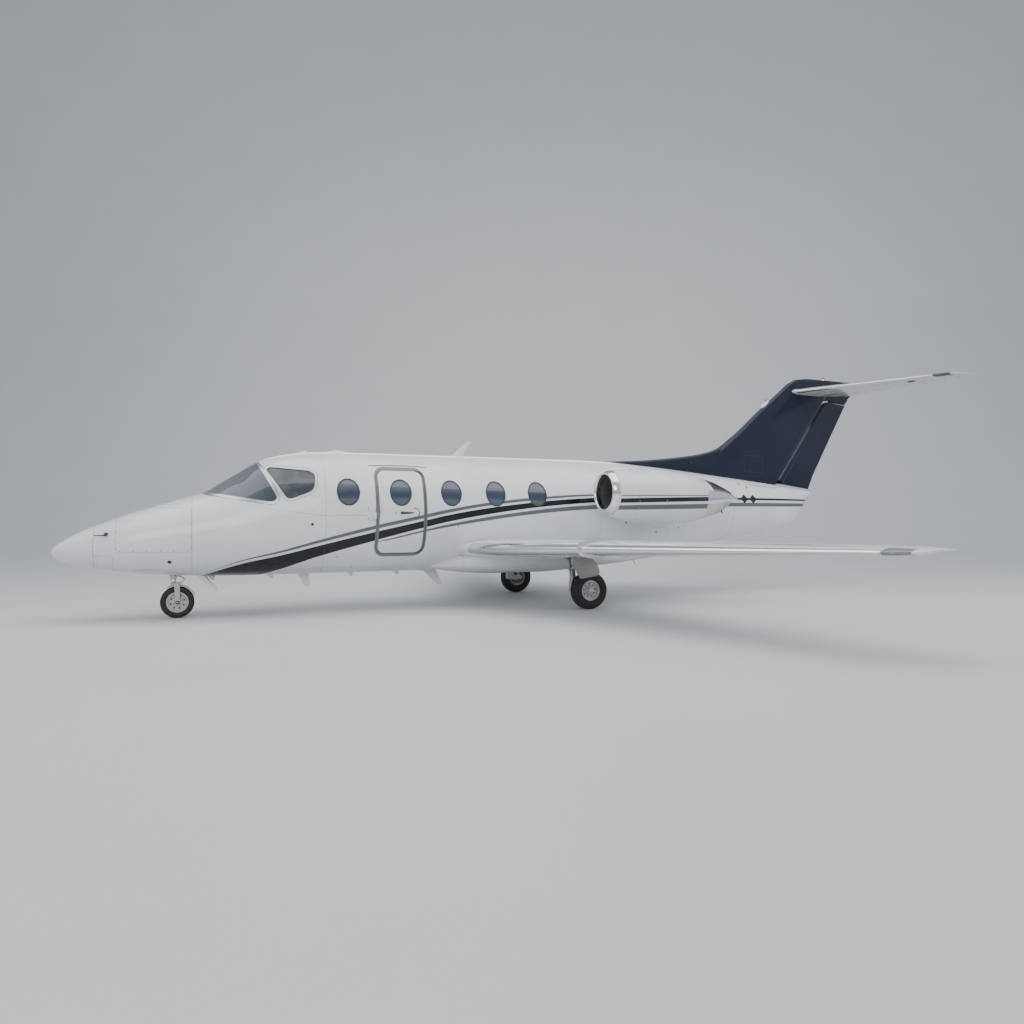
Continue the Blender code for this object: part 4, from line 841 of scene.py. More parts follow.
# The tail cone: thin painted skin that narrows to the point under the rudder, dark blue above the line of
# the fin's foot, with a slim strake along each side.
tail_paint = fuselage_paint("tail_paint", True)
tail = closed("tail_skin", [skin_ring(s) for s in spaced(8.0002, 13.36, 0.05)], tail_paint,
              [skin_ring(s, 0.022) for s in spaced(8.0002, 12.60, 0.1)], cabin_lining, (False, True))
shade_like(tail, smooth_guide(tail))
settle(tail, "white_skin", "tail_section")
for side, word in SIDES:
    rings = []
    for t in np.linspace(0, 1, 14):
        station, height = 11.45 + 0.91 * t, 2.069 - 0.074 * t
        out = skin_out(station, height)
        reach = 0.030 * math.sin(math.pi * min(1.0, t * 3 + 0.08) / 2) * min(1.0, (1.02 - t) * 8)
        rings.append([(station + NOSE_X, side * (out + a * reach), height + b)
                      for a, b in ((-0.8, -0.008), (0.6, -0.006), (1, 0.0), (0.6, 0.006), (-0.8, 0.008))])
    settle(closed("tail_strake_" + word, rings, tail_paint), "white_skin")

# The belly fairing: a moulded boat-shaped cover under the cabin where the wing goes through. It is painted
# white like the body and screwed to it along its upper edge.
FAIRING = np.array((   # station, top, bottom, half width
    (5.10, 0.690, 0.630, 0.260), (5.35, 0.780, 0.585, 0.480), (5.60, 0.900, 0.548, 0.700),
    (5.90, 1.030, 0.520, 0.850), (6.30, 1.110, 0.502, 0.925), (7.00, 1.090, 0.502, 0.930),
    (7.60, 1.040, 0.530, 0.905), (8.10, 0.960, 0.575, 0.830), (8.60, 0.880, 0.620, 0.690),
    (9.00, 0.800, 0.680, 0.480)))
FAIRING_ROUNDNESS = 0.80


def powered(value, power):
    """A power that keeps the sign, for squarer or rounder ovals."""
    return math.copysign(abs(value) ** power, value)


def plain_paint(name, tones, seams=()):
    """The body's white gloss with panel seams given as (low, high, radius) boxes of the side view."""
    p = Finish(name)
    tone = p.mix(p.noise(1.3, 2.0).ramp(0.3, 0.7), *tones)
    dirt = p.noise(5.0, 6.0, 0.65, (0.3, 1, 1)).ramp(0.45, 0.80)
    tone = p.mix(dirt * 0.25, tone, (0.40, 0.38, 0.35))
    for low, high, radius in seams:
        tone = p.mix((abs(boxed(p, low, high, radius)) < 0.0012) * 0.6, tone, SEAM)
    return gloss(p, tone, dirt * 0.5)


fairing_paint = plain_paint("fairing_paint", WHITE_PAINT, (((5.02, 0.40), (5.62, 1.30), 0.0),
                                                           ((6.75, 0.40), (7.70, 1.30), 0.0)))
rings = []
for station in spaced(5.10, 9.00, 0.05):
    top, bottom, half = flowing(FAIRING, station)
    rings.append([(station + NOSE_X, half * powered(math.cos(a), FAIRING_ROUNDNESS),
                   (top + bottom) / 2 + (top - bottom) / 2 * powered(math.sin(a), FAIRING_ROUNDNESS))
                  for a in 2 * np.pi * np.arange(96) / 96])
fairing = closed("belly_fairing_skin", rings, fairing_paint)
guide = smooth_guide(fairing)
carve(fairing, "DIFFERENCE", closed("body", [skin_ring(s, 0.004, 96) for s in spaced(4.3, 9.6, 0.1)]))
shade_like(fairing, guide)
settle(fairing, "white_skin", "belly_fairing")

# The wings: riveted aluminium boxes with a bare polished leading edge, a flap and a spoiler each, a polished
# fence wrapped round the nose of the wing, and a clear lamp cover let into the tip.
WING = ((0.600, 5.477, 2.475, 0.933, 3.0, 0.130), (2.900, 6.461, 1.805, 0.998, 1.0, 0.125),
        (6.450, 7.979, 0.770, 1.085, -2.5, 0.113), (6.580, 8.075, 0.640, 1.090, -2.5, 0.095),
        (6.625, 8.230, 0.440, 1.094, -2.5, 0.050))   # out, leading edge, chord, height, incidence, thickness
AIRFOIL = ((0.0, 0.0), (0.0125, 0.32), (0.05, 0.60), (0.12, 0.82), (0.25, 0.98), (0.40, 0.99),
           (0.60, 0.78), (0.78, 0.46), (1.0, 0.035))   # share of chord, share of half thickness
ROOTED = np.array([(math.sqrt(a), b) for a, b in AIRFOIL])
SHARES = [0.5 - 0.5 * math.cos(math.pi * i / 30) for i in range(31)]
CAMBER = 0.012


def between(table, at):
    """A table's row at one value of its first column, on straight lines."""
    for low, high in zip(table, table[1:]):
        if at <= high[0]:
            break
    share = (at - low[0]) / (high[0] - low[0])
    return [a + (b - a) * share for a, b in zip(low, high)]


def foil_point(table, side, out, share, upper, lift=0.0):
    """A point on a wing's skin, at a distance out and a share of the chord from its leading edge."""
    _, edge, chord, height, incidence, thickness = between(table, out)
    half = flowing(ROOTED, math.sqrt(share))[0] * thickness * chord / 2
    rise = (half + lift) * (1 if upper else -1) + CAMBER * 4 * share * (1 - share) * chord
    ahead = share * chord - lift * max(0.0, 1 - 12 * share)
    turn = math.radians(incidence)
    return Vector((edge + NOSE_X + ahead * math.cos(turn) + rise * math.sin(turn), side * out,
                   height - ahead * math.sin(turn) + rise * math.cos(turn)))


def foil_ring(table, side, out):
    return ([foil_point(table, side, out, share, True) for share in reversed(SHARES)]
            + [foil_point(table, side, out, share, False) for share in SHARES[1:]])


def nose_wrap(name, table, side, outs, upper, lower, lift, finish):
    """A thin sheet wrapped round the nose of a wing from one share of the chord to another."""
    path = [(upper * t * t, True) for t in np.linspace(1, 0, 12)]
    path += [(lower * t * t, False) for t in np.linspace(0, 1, 12)[1:]]
    rings = [[foil_point(table, side, out, share, up, lift) for share, up in path]
             + [foil_point(table, side, out, share, up, -0.003) for share, up in reversed(path)]
             for out in outs]
    return creased(closed(name, rings, finish))


def axis_block(axis, outline, low, high, name="cutter", finish=None):
    """An outline of (aft, up) offsets from an axis of two points, carried along the axis."""
    start, line = axis[0], (axis[1] - axis[0]).normalized()
    aft = (Vector((1, 0, 0)) - line * line.x).normalized()
    up = line.cross(aft)
    if up.z < 0:
        up.negate()
    return closed(name, [[start + line * at + aft * a + up * b for a, b in outline] for at in (low, high)],
                  finish)


def axis_rod(axis, low, high, radius, end_radius=None, name="cutter", finish=None):
    line = (axis[1] - axis[0]).normalized()
    near, far = (axis[0] + line * at + Vector((-NOSE_X, 0, 0)) for at in (low, high))
    return rod(name, near, far, radius, finish, end_radius, 32, 0)


def wing_paint(name, tones, edge, slope, chord_lines, span_lines):
    """Gloss white over riveted skin: seams along the span and across it, with rows of flush rivets."""
    p = Finish(name)
    out = abs(p.y)
    behind = p.station - (edge + slope * out)
    tone = p.mix(p.noise(1.5, 2.0).ramp(0.3, 0.7), *tones)
    dirt = p.noise(4.0, 6.0, 0.65, (1, 0.3, 1)).ramp(0.45, 0.80)
    tone = p.mix(dirt * 0.22, tone, (0.40, 0.38, 0.35))
    seam = abs(behind - 0.16) < 0.0013
    rivet = (abs(behind - 0.175) < 0.0025) * (out.repeats(0.032) < 0.0025)
    for at in chord_lines:
        seam = seam | (abs(out - at) < 0.0013)
        rivet = rivet | (abs(abs(out - at) - 0.012) < 0.0022) * (p.station.repeats(0.032) < 0.0022)
    for at in span_lines:
        seam = seam | (abs(behind - at + out * 0.1) < 0.0012)
    tone = p.mix(seam * 0.55 | rivet * 0.30, tone, SEAM)
    return gloss(p, tone, dirt * 0.5)


white_wing = wing_paint("wing_paint", WHITE_PAINT, 5.2203, 0.4278, (1.9, 2.9, 3.9, 4.9, 5.8, 6.34), (0.62,))
polished_edge = mottled("leading_edge_metal", (6, 5), ((0.74, 0.75, 0.77), (0.86, 0.86, 0.87)),
                        ((12, 5, 0.6, (3, 0.5, 3)), (0.25, 0.85), 0.16, 0.10),
                        ((2.5, 2, 0.5, (2, 1, 2)), 0.12, 0.003), Metallic=1.0)
lamp_glass = mottled("lamp_cover", (20, 3), ((0.05, 0.055, 0.06), (0.12, 0.125, 0.13)), Roughness=0.04,
                     Alpha=0.55, Coat_Weight=1.0, Coat_Roughness=0.02)
dark_well = mottled("wheel_well", (25, 4), ((0.030, 0.030, 0.028), (0.075, 0.072, 0.066)), Roughness=0.7)
GAP = 0.006               # between a hinged surface and what it is let into
FLAP_ENDS, FLAP_SHARE, FLAP_DROP = (1.12, 5.15), 0.76, Vector((0, 0, 0.032))
FLAP_ARM = ((-0.004, -0.016), (0.060, -0.004), (0.180, 0.055), (0.020, 0.055), (0.004, 0.010))
FLAP_BRACKET = ((-0.30, 0.070), (-0.012, 0.060), (-0.012, 0.012), (0.0, -0.016), (-0.040, -0.016))
SPOILER_ENDS, SPOILER_SHARES, SPOILER_DROP = (3.05, 4.95), (0.57, 0.69), Vector((0, 0, 0.007))
FENCE_OUT = 2.90          # and its outer and inner edges: share of the chord, on top, how far aft, how high
FENCE_OUTER = ((0.50, True, 0, 0.004), (0.30, True, 0, 0.055), (0.12, True, 0, 0.065),
               (0.02, True, -0.04, 0.055), (0.02, True, -0.085, 0), (0.02, False, -0.05, -0.03),
               (0.10, False, 0, -0.040), (0.16, False, 0, 0))
FENCE_INNER = ((0.16, False, 0, 0.03), (0.10, False, 0, 0.05), (0.30, True, 0, -0.05), (0.50, True, 0, -0.03))
outs = spaced(0.62, 2.9, 0.16) + spaced(2.9, 6.45, 0.16)[1:] + [6.50, 6.54, 6.58, 6.605, 6.625]
for side, word in SIDES:
    rings = [foil_ring(WING, side, out) for out in outs]
    wing = closed("wing_skin_" + word, rings, white_wing)
    guide = smooth_guide(wing)
    flap_axis = [foil_point(WING, side, out, FLAP_SHARE, False) - FLAP_DROP for out in FLAP_ENDS]
    span = (flap_axis[1] - flap_axis[0]).length
    behind = ((0.0, -0.3), (1.3, -0.3), (1.3, 0.5), (0.0, 0.5))
    widened = [(a - GAP if a == 0 else a, b) for a, b in behind]
    carve(wing, "DIFFERENCE", axis_block(flap_axis, widened, 0, span))
    spoiler_axis = [foil_point(WING, side, out, SPOILER_SHARES[0], True) - SPOILER_DROP
                    for out in SPOILER_ENDS]
    front, rear = (foil_point(WING, side, 4.0, share, True) for share in SPOILER_SHARES)
    fall, long = front.z - rear.z, rear.x - front.x
    spoiler_span = (spoiler_axis[1] - spoiler_axis[0]).length
    bay = ((-0.020, -0.013), (long + GAP, -0.013 - fall), (long + GAP, 0.10), (-0.020, 0.10))
    carve(wing, "DIFFERENCE", axis_block(spoiler_axis, bay, 0.0, spoiler_span))
    carve(wing, "DIFFERENCE", block((7.100, side * 1.165, 0.50), (7.360, side * 1.375, 0.895)),
          closed("body", [skin_ring(s, 0.03, 64) for s in spaced(5.0, 8.4, 0.2)]))
    shade_like(wing, guide)
    settle(wing, "white_skin", "wing_" + word)

    flap = closed("flap_skin_" + word, rings, white_wing)
    carve(flap, "INTERSECT", axis_block(flap_axis, behind, GAP, span - GAP))
    shade_like(flap, guide)
    arms, brackets = [], []
    for place in (0.25 * span, 0.80 * span):
        arm = axis_block(flap_axis, FLAP_ARM, place + 0.001, place + 0.012, "arm", white_wing)
        boss = axis_rod(flap_axis, place + 0.0003, place + 0.013, 0.018, None, "boss", strip_metal)
        arms += [rounded_off(arm, 0.002), boss]
        bracket = axis_block(flap_axis, FLAP_BRACKET, place - 0.011, place - 0.001, "bracket", white_wing)
        eye = axis_rod(flap_axis, place - 0.012, place, 0.018, None, "eye", strip_metal)
        brackets += [rounded_off(bracket, 0.002), eye]
    settle(flap, "white_skin", "flap_" + word, body="flap_" + word)
    settle(merged("flap_arms_" + word, *arms), "white_skin", body="flap_" + word)
    settle(merged("flap_brackets_" + word, *brackets), "white_skin")

    spoiler = closed("spoiler_skin_" + word, rings, white_wing)
    blade = ((-0.003, -0.007), (long, -0.007 - fall), (long, 0.10), (-0.003, 0.10))
    carve(spoiler, "INTERSECT", axis_block(spoiler_axis, blade, GAP, spoiler_span - GAP))
    shade_like(spoiler, guide)
    settle(spoiler, "white_skin", "spoiler_" + word, body="spoiler_" + word)

    edge = nose_wrap("wing_edge_" + word, WING, side, spaced(0.90, 2.9, 0.12) + spaced(2.9, 6.33, 0.12)[1:],
                     0.050, 0.060, 0.0009, polished_edge)
    settle(edge, "polished_skin")
    cover = nose_wrap("tip_lamp_" + word, WING, side, spaced(6.345, 6.575, 0.04), 0.16, 0.16, 0.0015,
                      lamp_glass)
    settle(cover, "glass")

    outer, inner = ([(foil_point(WING, side, FENCE_OUT, share, upper), aft, up)
                     for share, upper, aft, up in edges] for edges in (FENCE_OUTER, FENCE_INNER))
    outline = (eased([(at.x + aft, at.z + up) for at, aft, up in outer], 0.05)
               + [(at.x + aft, at.z + up) for at, aft, up in inner])
    fence = side_block([(a - NOSE_X, b) for a, b in outline], side * (FENCE_OUT - 0.004),
                       side * (FENCE_OUT + 0.004), "wing_fence_" + word, polished_edge)
    settle(rounded_off(fence, 0.0015), "polished_skin")

# The fin: a tall dark blue gloss box with its long fillet ahead, the rudder hung behind it in a shallow bay,
# a red beacon on top and a painted highlight, a lighter band, along the hinge.
FIN = ((1.950, 10.20, 13.30, 0.105), (2.300, 10.55, 13.46, 0.105), (2.560, 10.90, 13.62, 0.100),
       (2.800, 11.13, 13.76, 0.095), (3.100, 11.53, 13.94, 0.088), (3.500, 12.00, 14.18, 0.080),
       (3.900, 12.52, 14.42, 0.074), (4.100, 12.76, 14.66, 0.070), (4.200, 12.96, 14.72, 0.058),
       (4.240, 13.25, 14.60, 0.030))   # height, leading edge, trailing edge, half thickness
DORSAL = np.array(((8.45, 2.414, 0.020), (9.30, 2.462, 0.040), (10.20, 2.556, 0.062), (10.70, 2.640, 0.074),
                   (11.00, 2.735, 0.076), (11.20, 2.860, 0.078), (11.34, 2.965, 0.080)))
RUDDER_AXIS = (Vector((12.500 + NOSE_X, 0, 2.060)), Vector((13.735 + NOSE_X, 0, 3.760)))
RUDDER_SIDE = ((12.520, 2.087), (13.320, 1.990), (13.420, 1.990), (14.500, 3.740), (13.780, 3.790))
RUDDER_BAY = ((12.440, 2.000), (13.400, 1.900), (14.800, 3.800), (13.788, 3.820))
RUDDER_WEB = ((13.862, 3.795), (14.330, 3.763), (14.352, 3.832), (13.862, 3.838))
NAVY_SEAM = (0.10, 0.11, 0.14)
FIN_PANELS = (((11.60, 2.30), (12.05, 2.62)), ((9.20, 2.395), (9.44, 2.44)), ((12.95, 3.95), (13.35, 4.10)))


def upright(height):
    """A level section of the fin."""
    _, edge, back, half = between(FIN, height)
    right = [(edge + NOSE_X + s * (back - edge), half * flowing(ROOTED, math.sqrt(s))[0], height)
             for s in reversed(SHARES)]
    return right + [(a, -b, c) for a, b, c in right[-2::-1]]


navy = Finish("navy_paint")
along_hinge = (navy.station - 12.500) * 0.809 - (navy.z - 2.060) * 0.588
tone = navy.mix(navy.noise(1.1, 2), NAVY_PAINT, (0.010, 0.015, 0.036))
tone = navy.mix(abs(along_hinge + 0.115) < 0.0015, tone, NAVY_SEAM)
# Painted highlight: a lighter grey band on the rudder's rounded nose ahead of the hinge line, for the light
# that catches it.
tone = navy.mix(along_hinge.within(-0.075, -0.060) * (abs(navy.z - 3.0) < 0.95), tone, (0.20, 0.21, 0.24))
for low, high in FIN_PANELS:
    tone = navy.mix((abs(boxed(navy, low, high, 0.02)) < 0.0012) * 0.8, tone, NAVY_SEAM)
gloss(navy, tone)
navy.set(Roughness=navy.noise(3.0, 4.0).ramp(0.2, 0.9) * 0.06 + 0.10, Coat_Weight=0.30)

rings = [upright(z) for z in spaced(1.95, 4.10, 0.10)]
fin = closed("fin_skin", rings + [upright(z) for z in (4.15, 4.18, 4.20, 4.22, 4.232, 4.24)], navy)
guide = smooth_guide(fin)
axis_long = (RUDDER_AXIS[1] - RUDDER_AXIS[0]).length
carve(fin, "DIFFERENCE", side_block(RUDDER_BAY, -0.2, 0.2),
      axis_rod(RUDDER_AXIS, -0.20, axis_long + 0.080, 0.104, 0.084))
shade_like(fin, guide)
settle(fin, "dark_skin", "fin")
fillet = []
for station in spaced(8.45, 11.34, 0.05):
    top, half = flowing(DORSAL, station)
    low = flowing(SKIN, station)[0] - 0.06
    fillet.append([(station + NOSE_X, half * powered(math.cos(a), 1.15),
                    low + (top - low) * math.sin(a) ** 0.85) for a in np.linspace(math.pi, 0, 25)])
settle(closed("fin_fillet", fillet, navy), "dark_skin")

rudder = closed("rudder_skin", rings, navy)
nose_roll = axis_rod(RUDDER_AXIS, 0.080, axis_long - 0.060, 0.088, 0.071, finish=navy)
roll_guide = smooth_guide(nose_roll)
carve(rudder, "INTERSECT", side_block(RUDDER_SIDE, -0.2, 0.2))
carve(rudder, "UNION", nose_roll)
shade_like(rudder, guide, roll_guide)
settle(rudder, "dark_skin", "rudder", body="rudder")

web = side_block(RUDDER_WEB, -0.002, 0.002, "rudder_top_web", navy)
settle(rounded_off(web, 0.0006), "dark_skin")
lens_red = mottled("beacon_lens", (40, 2), ((0.35, 0.01, 0.01), (0.50, 0.03, 0.02)), Roughness=0.08,
                   Alpha=0.85, Coat_Weight=1.0)
BEACON = ((0, 0), (0.052, 0), (0.050, 0.012), (0.040, 0.026), (0.015, 0.034), (0, 0.036))
BEACON_RING = ((0.0, 0.0), (0.017, 0.0), (0.017, 0.050), (0, 0.056))
beacon = merged("beacon", turned("lens", BEACON, (13.732 + NOSE_X, 0, 4.252), (0, 0, 1), lens_red, 32),
                turned("ring", BEACON_RING, (13.732 + NOSE_X, 0, 4.236), (0, 0, 1), chrome, 32))
settle(beacon, "glass")

# The tailplane: one small wing through the top of the fin, bare polished at the nose and plain underneath,
# with an elevator hinged behind each half in a shallow bay and static wicks on the trailing edges. Its white
# paint is darkened to grey-beige all over as painted shade.
TAILPLANE = ((0.0, 12.800, 1.560, 3.945, 0, 0.100), (2.350, 14.180, 0.560, 4.010, 0, 0.095),
             (2.470, 14.300, 0.440, 4.013, 0, 0.080), (2.500, 14.420, 0.340, 4.014, 0, 0.040))
ELEVATOR_ENDS, ELEVATOR_SHARE, ELEVATOR_ROOT = (0.150, 2.300), 0.66, 0.100
ROLL_PAST = 0.056         # how far the elevator's rounded nose runs past its hinge line at the root
ACCESS_RIM = ((0.0050, 0.0), (0.0050, 0.068), (-0.001, 0.076), (-0.012, 0.076), (-0.012, 0.0))
dark_metal = mottled("dark_polished_metal", (12, 4), ((0.045, 0.050, 0.065), (0.10, 0.11, 0.13)),
                     ((26, 4), (0.2, 0.8), 0.10, 0.10), Metallic=1.0)
# Painted shade: the tailplane's white paint is given darker grey-beige tones all over, for its shaded
# underside.
shaded_tail_white = wing_paint("tailplane_shaded_paint", ((0.66, 0.65, 0.62), (0.56, 0.55, 0.52)), 12.800, 0.5872,
                        (0.9, 1.7, 2.31), ())
outs = spaced(0.0, 2.35, 0.14) + [2.39, 2.43, 2.47, 2.485, 2.50]
rings = [foil_ring(TAILPLANE, -1, out) for out in reversed(outs)]
tailplane = closed("tailplane_skin", rings + [foil_ring(TAILPLANE, 1, out) for out in outs[1:]], shaded_tail_white)
guide = smooth_guide(tailplane)
for side, word in SIDES:
    ends = [[foil_point(TAILPLANE, side, out, ELEVATOR_SHARE, upper) for upper in (True, False)]
            for out in ELEVATOR_ENDS]
    axis = [(top + foot) / 2 for top, foot in ends]
    start_half, end_half = ((top - foot).length / 2 for top, foot in ends)
    span = (axis[1] - axis[0]).length
    region = ((0.0, -0.3), (1.0, -0.3), (1.0, 0.3), (0.0, 0.3))
    bay = axis_block(axis, [(a - GAP, b) for a, b in region], -0.40, span)
    carve(bay, "INTERSECT", block((12.0, side * (ELEVATOR_ROOT - GAP), 3.5), (15.0, side * 2.60, 4.4)))
    carve(tailplane, "DIFFERENCE", bay, axis_rod(axis, -ROLL_PAST, span, start_half + GAP, end_half + GAP))
    elevator = closed("elevator_skin_" + word, [foil_ring(TAILPLANE, side, out) for out in outs], shaded_tail_white)
    nose_roll = axis_rod(axis, GAP - ROLL_PAST, span - GAP, start_half, end_half, finish=shaded_tail_white)
    roll_guide = smooth_guide(nose_roll)
    carve(elevator, "INTERSECT", axis_block(axis, region, -0.40, span - GAP),
          block((12.0, side * ELEVATOR_ROOT, 3.5), (15.0, side * 2.60, 4.4)))
    carve(elevator, "UNION", nose_roll)
    shade_like(elevator, guide, roll_guide)
    settle(elevator, "white_skin", "elevator_" + word, body="elevator_" + word)
    wicks = []
    for out in (0.75, 1.20, 1.60, 1.95, 2.20):
        at = foil_point(TAILPLANE, side, out, 0.985, True)
        x, y, z = at.x - NOSE_X, at.y, at.z - 0.003
        wicks.append(rod("wick", (x, y, z), (x + 0.11, y + side * 0.02, z - 0.004), 0.0028, seal_rubber,
                         0.0016, 8))
        wicks.append(rod("foot", (x - 0.02, y - side * 0.0036, z + 0.0007), (x + 0.012, y + side * 0.0022, z),
                         0.0045, strip_metal, 0.0035, 8))
    settle(merged("static_wicks_" + word, *wicks), "tyre", body="elevator_" + word)
    edge = nose_wrap("tailplane_edge_" + word, TAILPLANE, side, spaced(0.13, 2.34, 0.13), 0.065, 0.050,
                     0.0009, polished_edge)
    settle(edge, "polished_skin")
    tip = nose_wrap("tailplane_tip_" + word, TAILPLANE, side, spaced(2.20, 2.42, 0.02), 0.30, 0.26, 0.0012,
                    dark_metal)
    settle(tip, "polished_skin")
    centre = foil_point(TAILPLANE, side, 1.75, 0.35, False)
    access = turned("tailplane_access_" + word, ACCESS_RIM, centre, (0.0, -0.03, -1.0), seal_rubber, 40)
    settle(access, "tyre")
shade_like(tailplane, guide)
settle(tailplane, "white_skin", "tailplane")

# The engines: a turned cowl on a stub pylon each side of the tail, with a polished lip, a grey lined duct,
# a turning fan, and at the back a bare metal nozzle with a polished pointed cover on each side of it.
ENGINE_OUT, ENGINE_HEIGHT, LIP, LIP_END = 1.320, 1.800, 7.740, 7.846
COWL = ((7.740, 0.300, 2.132, 1.532), (7.765, 0.330, 2.158, 1.500), (7.880, 0.368, 2.192, 1.440),
        (8.150, 0.402, 2.215, 1.370), (8.550, 0.418, 2.212, 1.322), (9.000, 0.412, 2.186, 1.310),
        (9.300, 0.388, 2.150, 1.330), (9.520, 0.352, 2.090, 1.372))   # station, half width, top, foot
DUCT = ((7.740, 0.300, 2.132, 1.532), (7.745, 0.283, 2.114, 1.548), (7.780, 0.270, 2.096, 1.556),
        (7.900, 0.262, 2.069, 1.545), (8.100, 0.268, 2.068, 1.532), (9.200, 0.270, 2.065, 1.525),
        (9.520, 0.275, 2.040, 1.490))
COWL, DUCT = (np.array([(math.sqrt(row[0] - LIP), *row[1:]) for row in rows]) for rows in (COWL, DUCT))
NOZZLE_OUTSIDE = np.array(((9.5203, 0.348, 2.084, 1.376), (9.750, 0.300, 2.043, 1.432),
                           (10.000, 0.240, 1.953, 1.508), (10.150, 0.180, 1.885, 1.620)))
NOZZLE_INSIDE = np.array(((9.5203, 0.270, 2.035, 1.495), (9.750, 0.262, 2.005, 1.475),
                          (10.000, 0.215, 1.928, 1.535), (10.150, 0.162, 1.867, 1.640)))
NOZZLE_COVER = np.array((   # station, inner and outer reach from the engine's middle, foot, top
    (9.5203, 0.300, 0.353, -0.170, 0.062), (9.720, 0.280, 0.337, -0.152, 0.063),
    (9.941, 0.235, 0.300, -0.131, 0.050), (10.150, 0.172, 0.262, -0.112, -0.020),
    (10.300, 0.190, 0.217, -0.102, -0.090)))
COWL_STRIPES = (   # upper edge and its drop along the cowl, lower edge and its drop, colour
    (1.771, 0.016, 1.755, 0.016, GREY_PAINT), (1.721, 0.033, 1.651, 0.032, BLACK_PAINT),
    (1.613, 0.028, 1.543, 0.021, GREY_PAINT))
FAN_STATION, FAN_RADIUS, FAN_BLADES, HUB_RADIUS = 8.130, 0.258, 24, 0.090
SPINNER_LONG, SPINNER_RADIUS = 0.205, 0.100
BLADE = ((-1, 0), (-0.5, -0.0016), (0, -0.002), (0.5, -0.0016), (1, 0), (0.5, 0.0016), (0, 0.002),
         (-0.5, 0.0016))


def cowl_ring(table, station, side, sides=96):
    """An oval section of the engine; the cowl's own tables run by the root of the way from its lip."""
    key = station if table[0, 0] > 9 else math.sqrt(station - LIP)
    half, top, foot = flowing(table, key)
    angles = [2 * math.pi * i / sides for i in range(sides)]
    return [(station + NOSE_X, side * ENGINE_OUT + half * math.cos(a),
             (top + foot) / 2 + (top - foot) / 2 * math.sin(a)) for a in angles]


def cowl_sleeve(name, outside, inside, rows, side, finish):
    """A part of the cowl or nozzle, between its outer and inner sections at some stations."""
    return sleeve(name, *([cowl_ring(table, at, side) for at in rows] for table in (outside, inside)), finish)


def cowl_paint(name):
    """White gloss outside with the stripes, joints and latches of the cowl, and plain grey in the duct."""
    p = Finish(name)
    tone = p.mix(p.noise(1.3, 2.0).ramp(0.3, 0.7), *WHITE_PAINT)
    outer = abs(p.y) > ENGINE_OUT - 0.02
    lean, clear = (p.station - 7.91) / 1.42, 0.75
    for top, drop, foot, fall, colour in COWL_STRIPES:
        stripe = (p.z < lean * drop + top) * (p.z > lean * fall + foot) * outer * (p.station > 7.86)
        tone = p.mix(stripe, tone, colour)
        clear = clear - stripe * 0.40
    seam = (abs(p.station - 8.165) < 0.0014) | (abs(p.station - 9.440) < 0.0012)
    slanted = abs(p.z - 1.455 + (p.station - 8.10) * -1.5) < 0.0015
    seam = seam | slanted * p.station.within(8.00, 8.16) * outer
    seam = seam | (abs(boxed(p, (8.52, 1.965), (8.66, 2.050), 0.012)) < 0.0011) * outer
    seam = seam | (abs(p.z - 1.800) < 0.0012) * (1 - outer) * (p.station > 8.165)
    tone = p.mix(seam * 0.6, tone, SEAM)
    latch = (abs(p.station - 8.180) < 0.006) * (p.z.repeats(0.105) < 0.006)
    latch = latch | (abs(p.station - 8.675) < 0.007) * (abs(p.z - 1.690) < 0.011)
    tone = p.mix(latch * outer * 0.8, tone, (0.45, 0.46, 0.48))
    across, up = abs(p.y) - ENGINE_OUT, p.z - ENGINE_HEIGHT
    inside = (across * across + up * up) < 0.292 * 0.292
    tone = p.mix(inside, tone, (0.10, 0.105, 0.11))
    dirt = p.station.ramp(9.0, 9.60) * p.noise(9.0, 5.0, 0.6, (0.3, 1, 1)).ramp(0.4, 0.8)
    tone = p.mix(dirt * 0.35, tone, (0.30, 0.28, 0.25))
    return gloss(p, tone, dirt * 0.5, clear)


cowl_white = cowl_paint("cowl_paint")
nozzle_metal = Finish("nozzle_metal", Metallic=1.0)
heat = nozzle_metal.station.ramp(9.72, 10.22)
tone = nozzle_metal.mix(heat, (0.74, 0.70, 0.63), (0.52, 0.44, 0.36))
tone = nozzle_metal.mix(nozzle_metal.noise(8, 5).ramp(0.35, 0.8) * 0.45, tone, (0.32, 0.29, 0.25))
# Painted shade: above a height of 1.84 the nozzle is painted near black, for the shadow over its top.
tone = nozzle_metal.mix(nozzle_metal.z.ramp(1.84, 1.90) * 0.85, tone, (0.07, 0.068, 0.066))
brushed = nozzle_metal.noise(25, 4, 0.6, (0.4, 2, 2)).ramp(0.2, 0.8)
nozzle_metal.set(Base_Color=tone, Roughness=brushed * 0.18 + 0.24)
nozzle_metal.bump(nozzle_metal.noise(120, 3, 0.6, (0.3, 3, 3)), 0.08, 0.001)
fan_metal = mottled("fan_metal", (30, 4), ((0.20, 0.21, 0.22), (0.36, 0.37, 0.39)),
                    ((60, 3), (0.2, 0.8), 0.15, 0.28), ((260, 2), 0.08, 0.0008), Metallic=1.0)
core_metal = mottled("core_metal", (18, 5), ((0.10, 0.09, 0.085), (0.22, 0.20, 0.18)),
                     ((40, 4), (0.2, 0.8), 0.2, 0.42), ((200, 3), 0.15, 0.0012), Metallic=0.8)
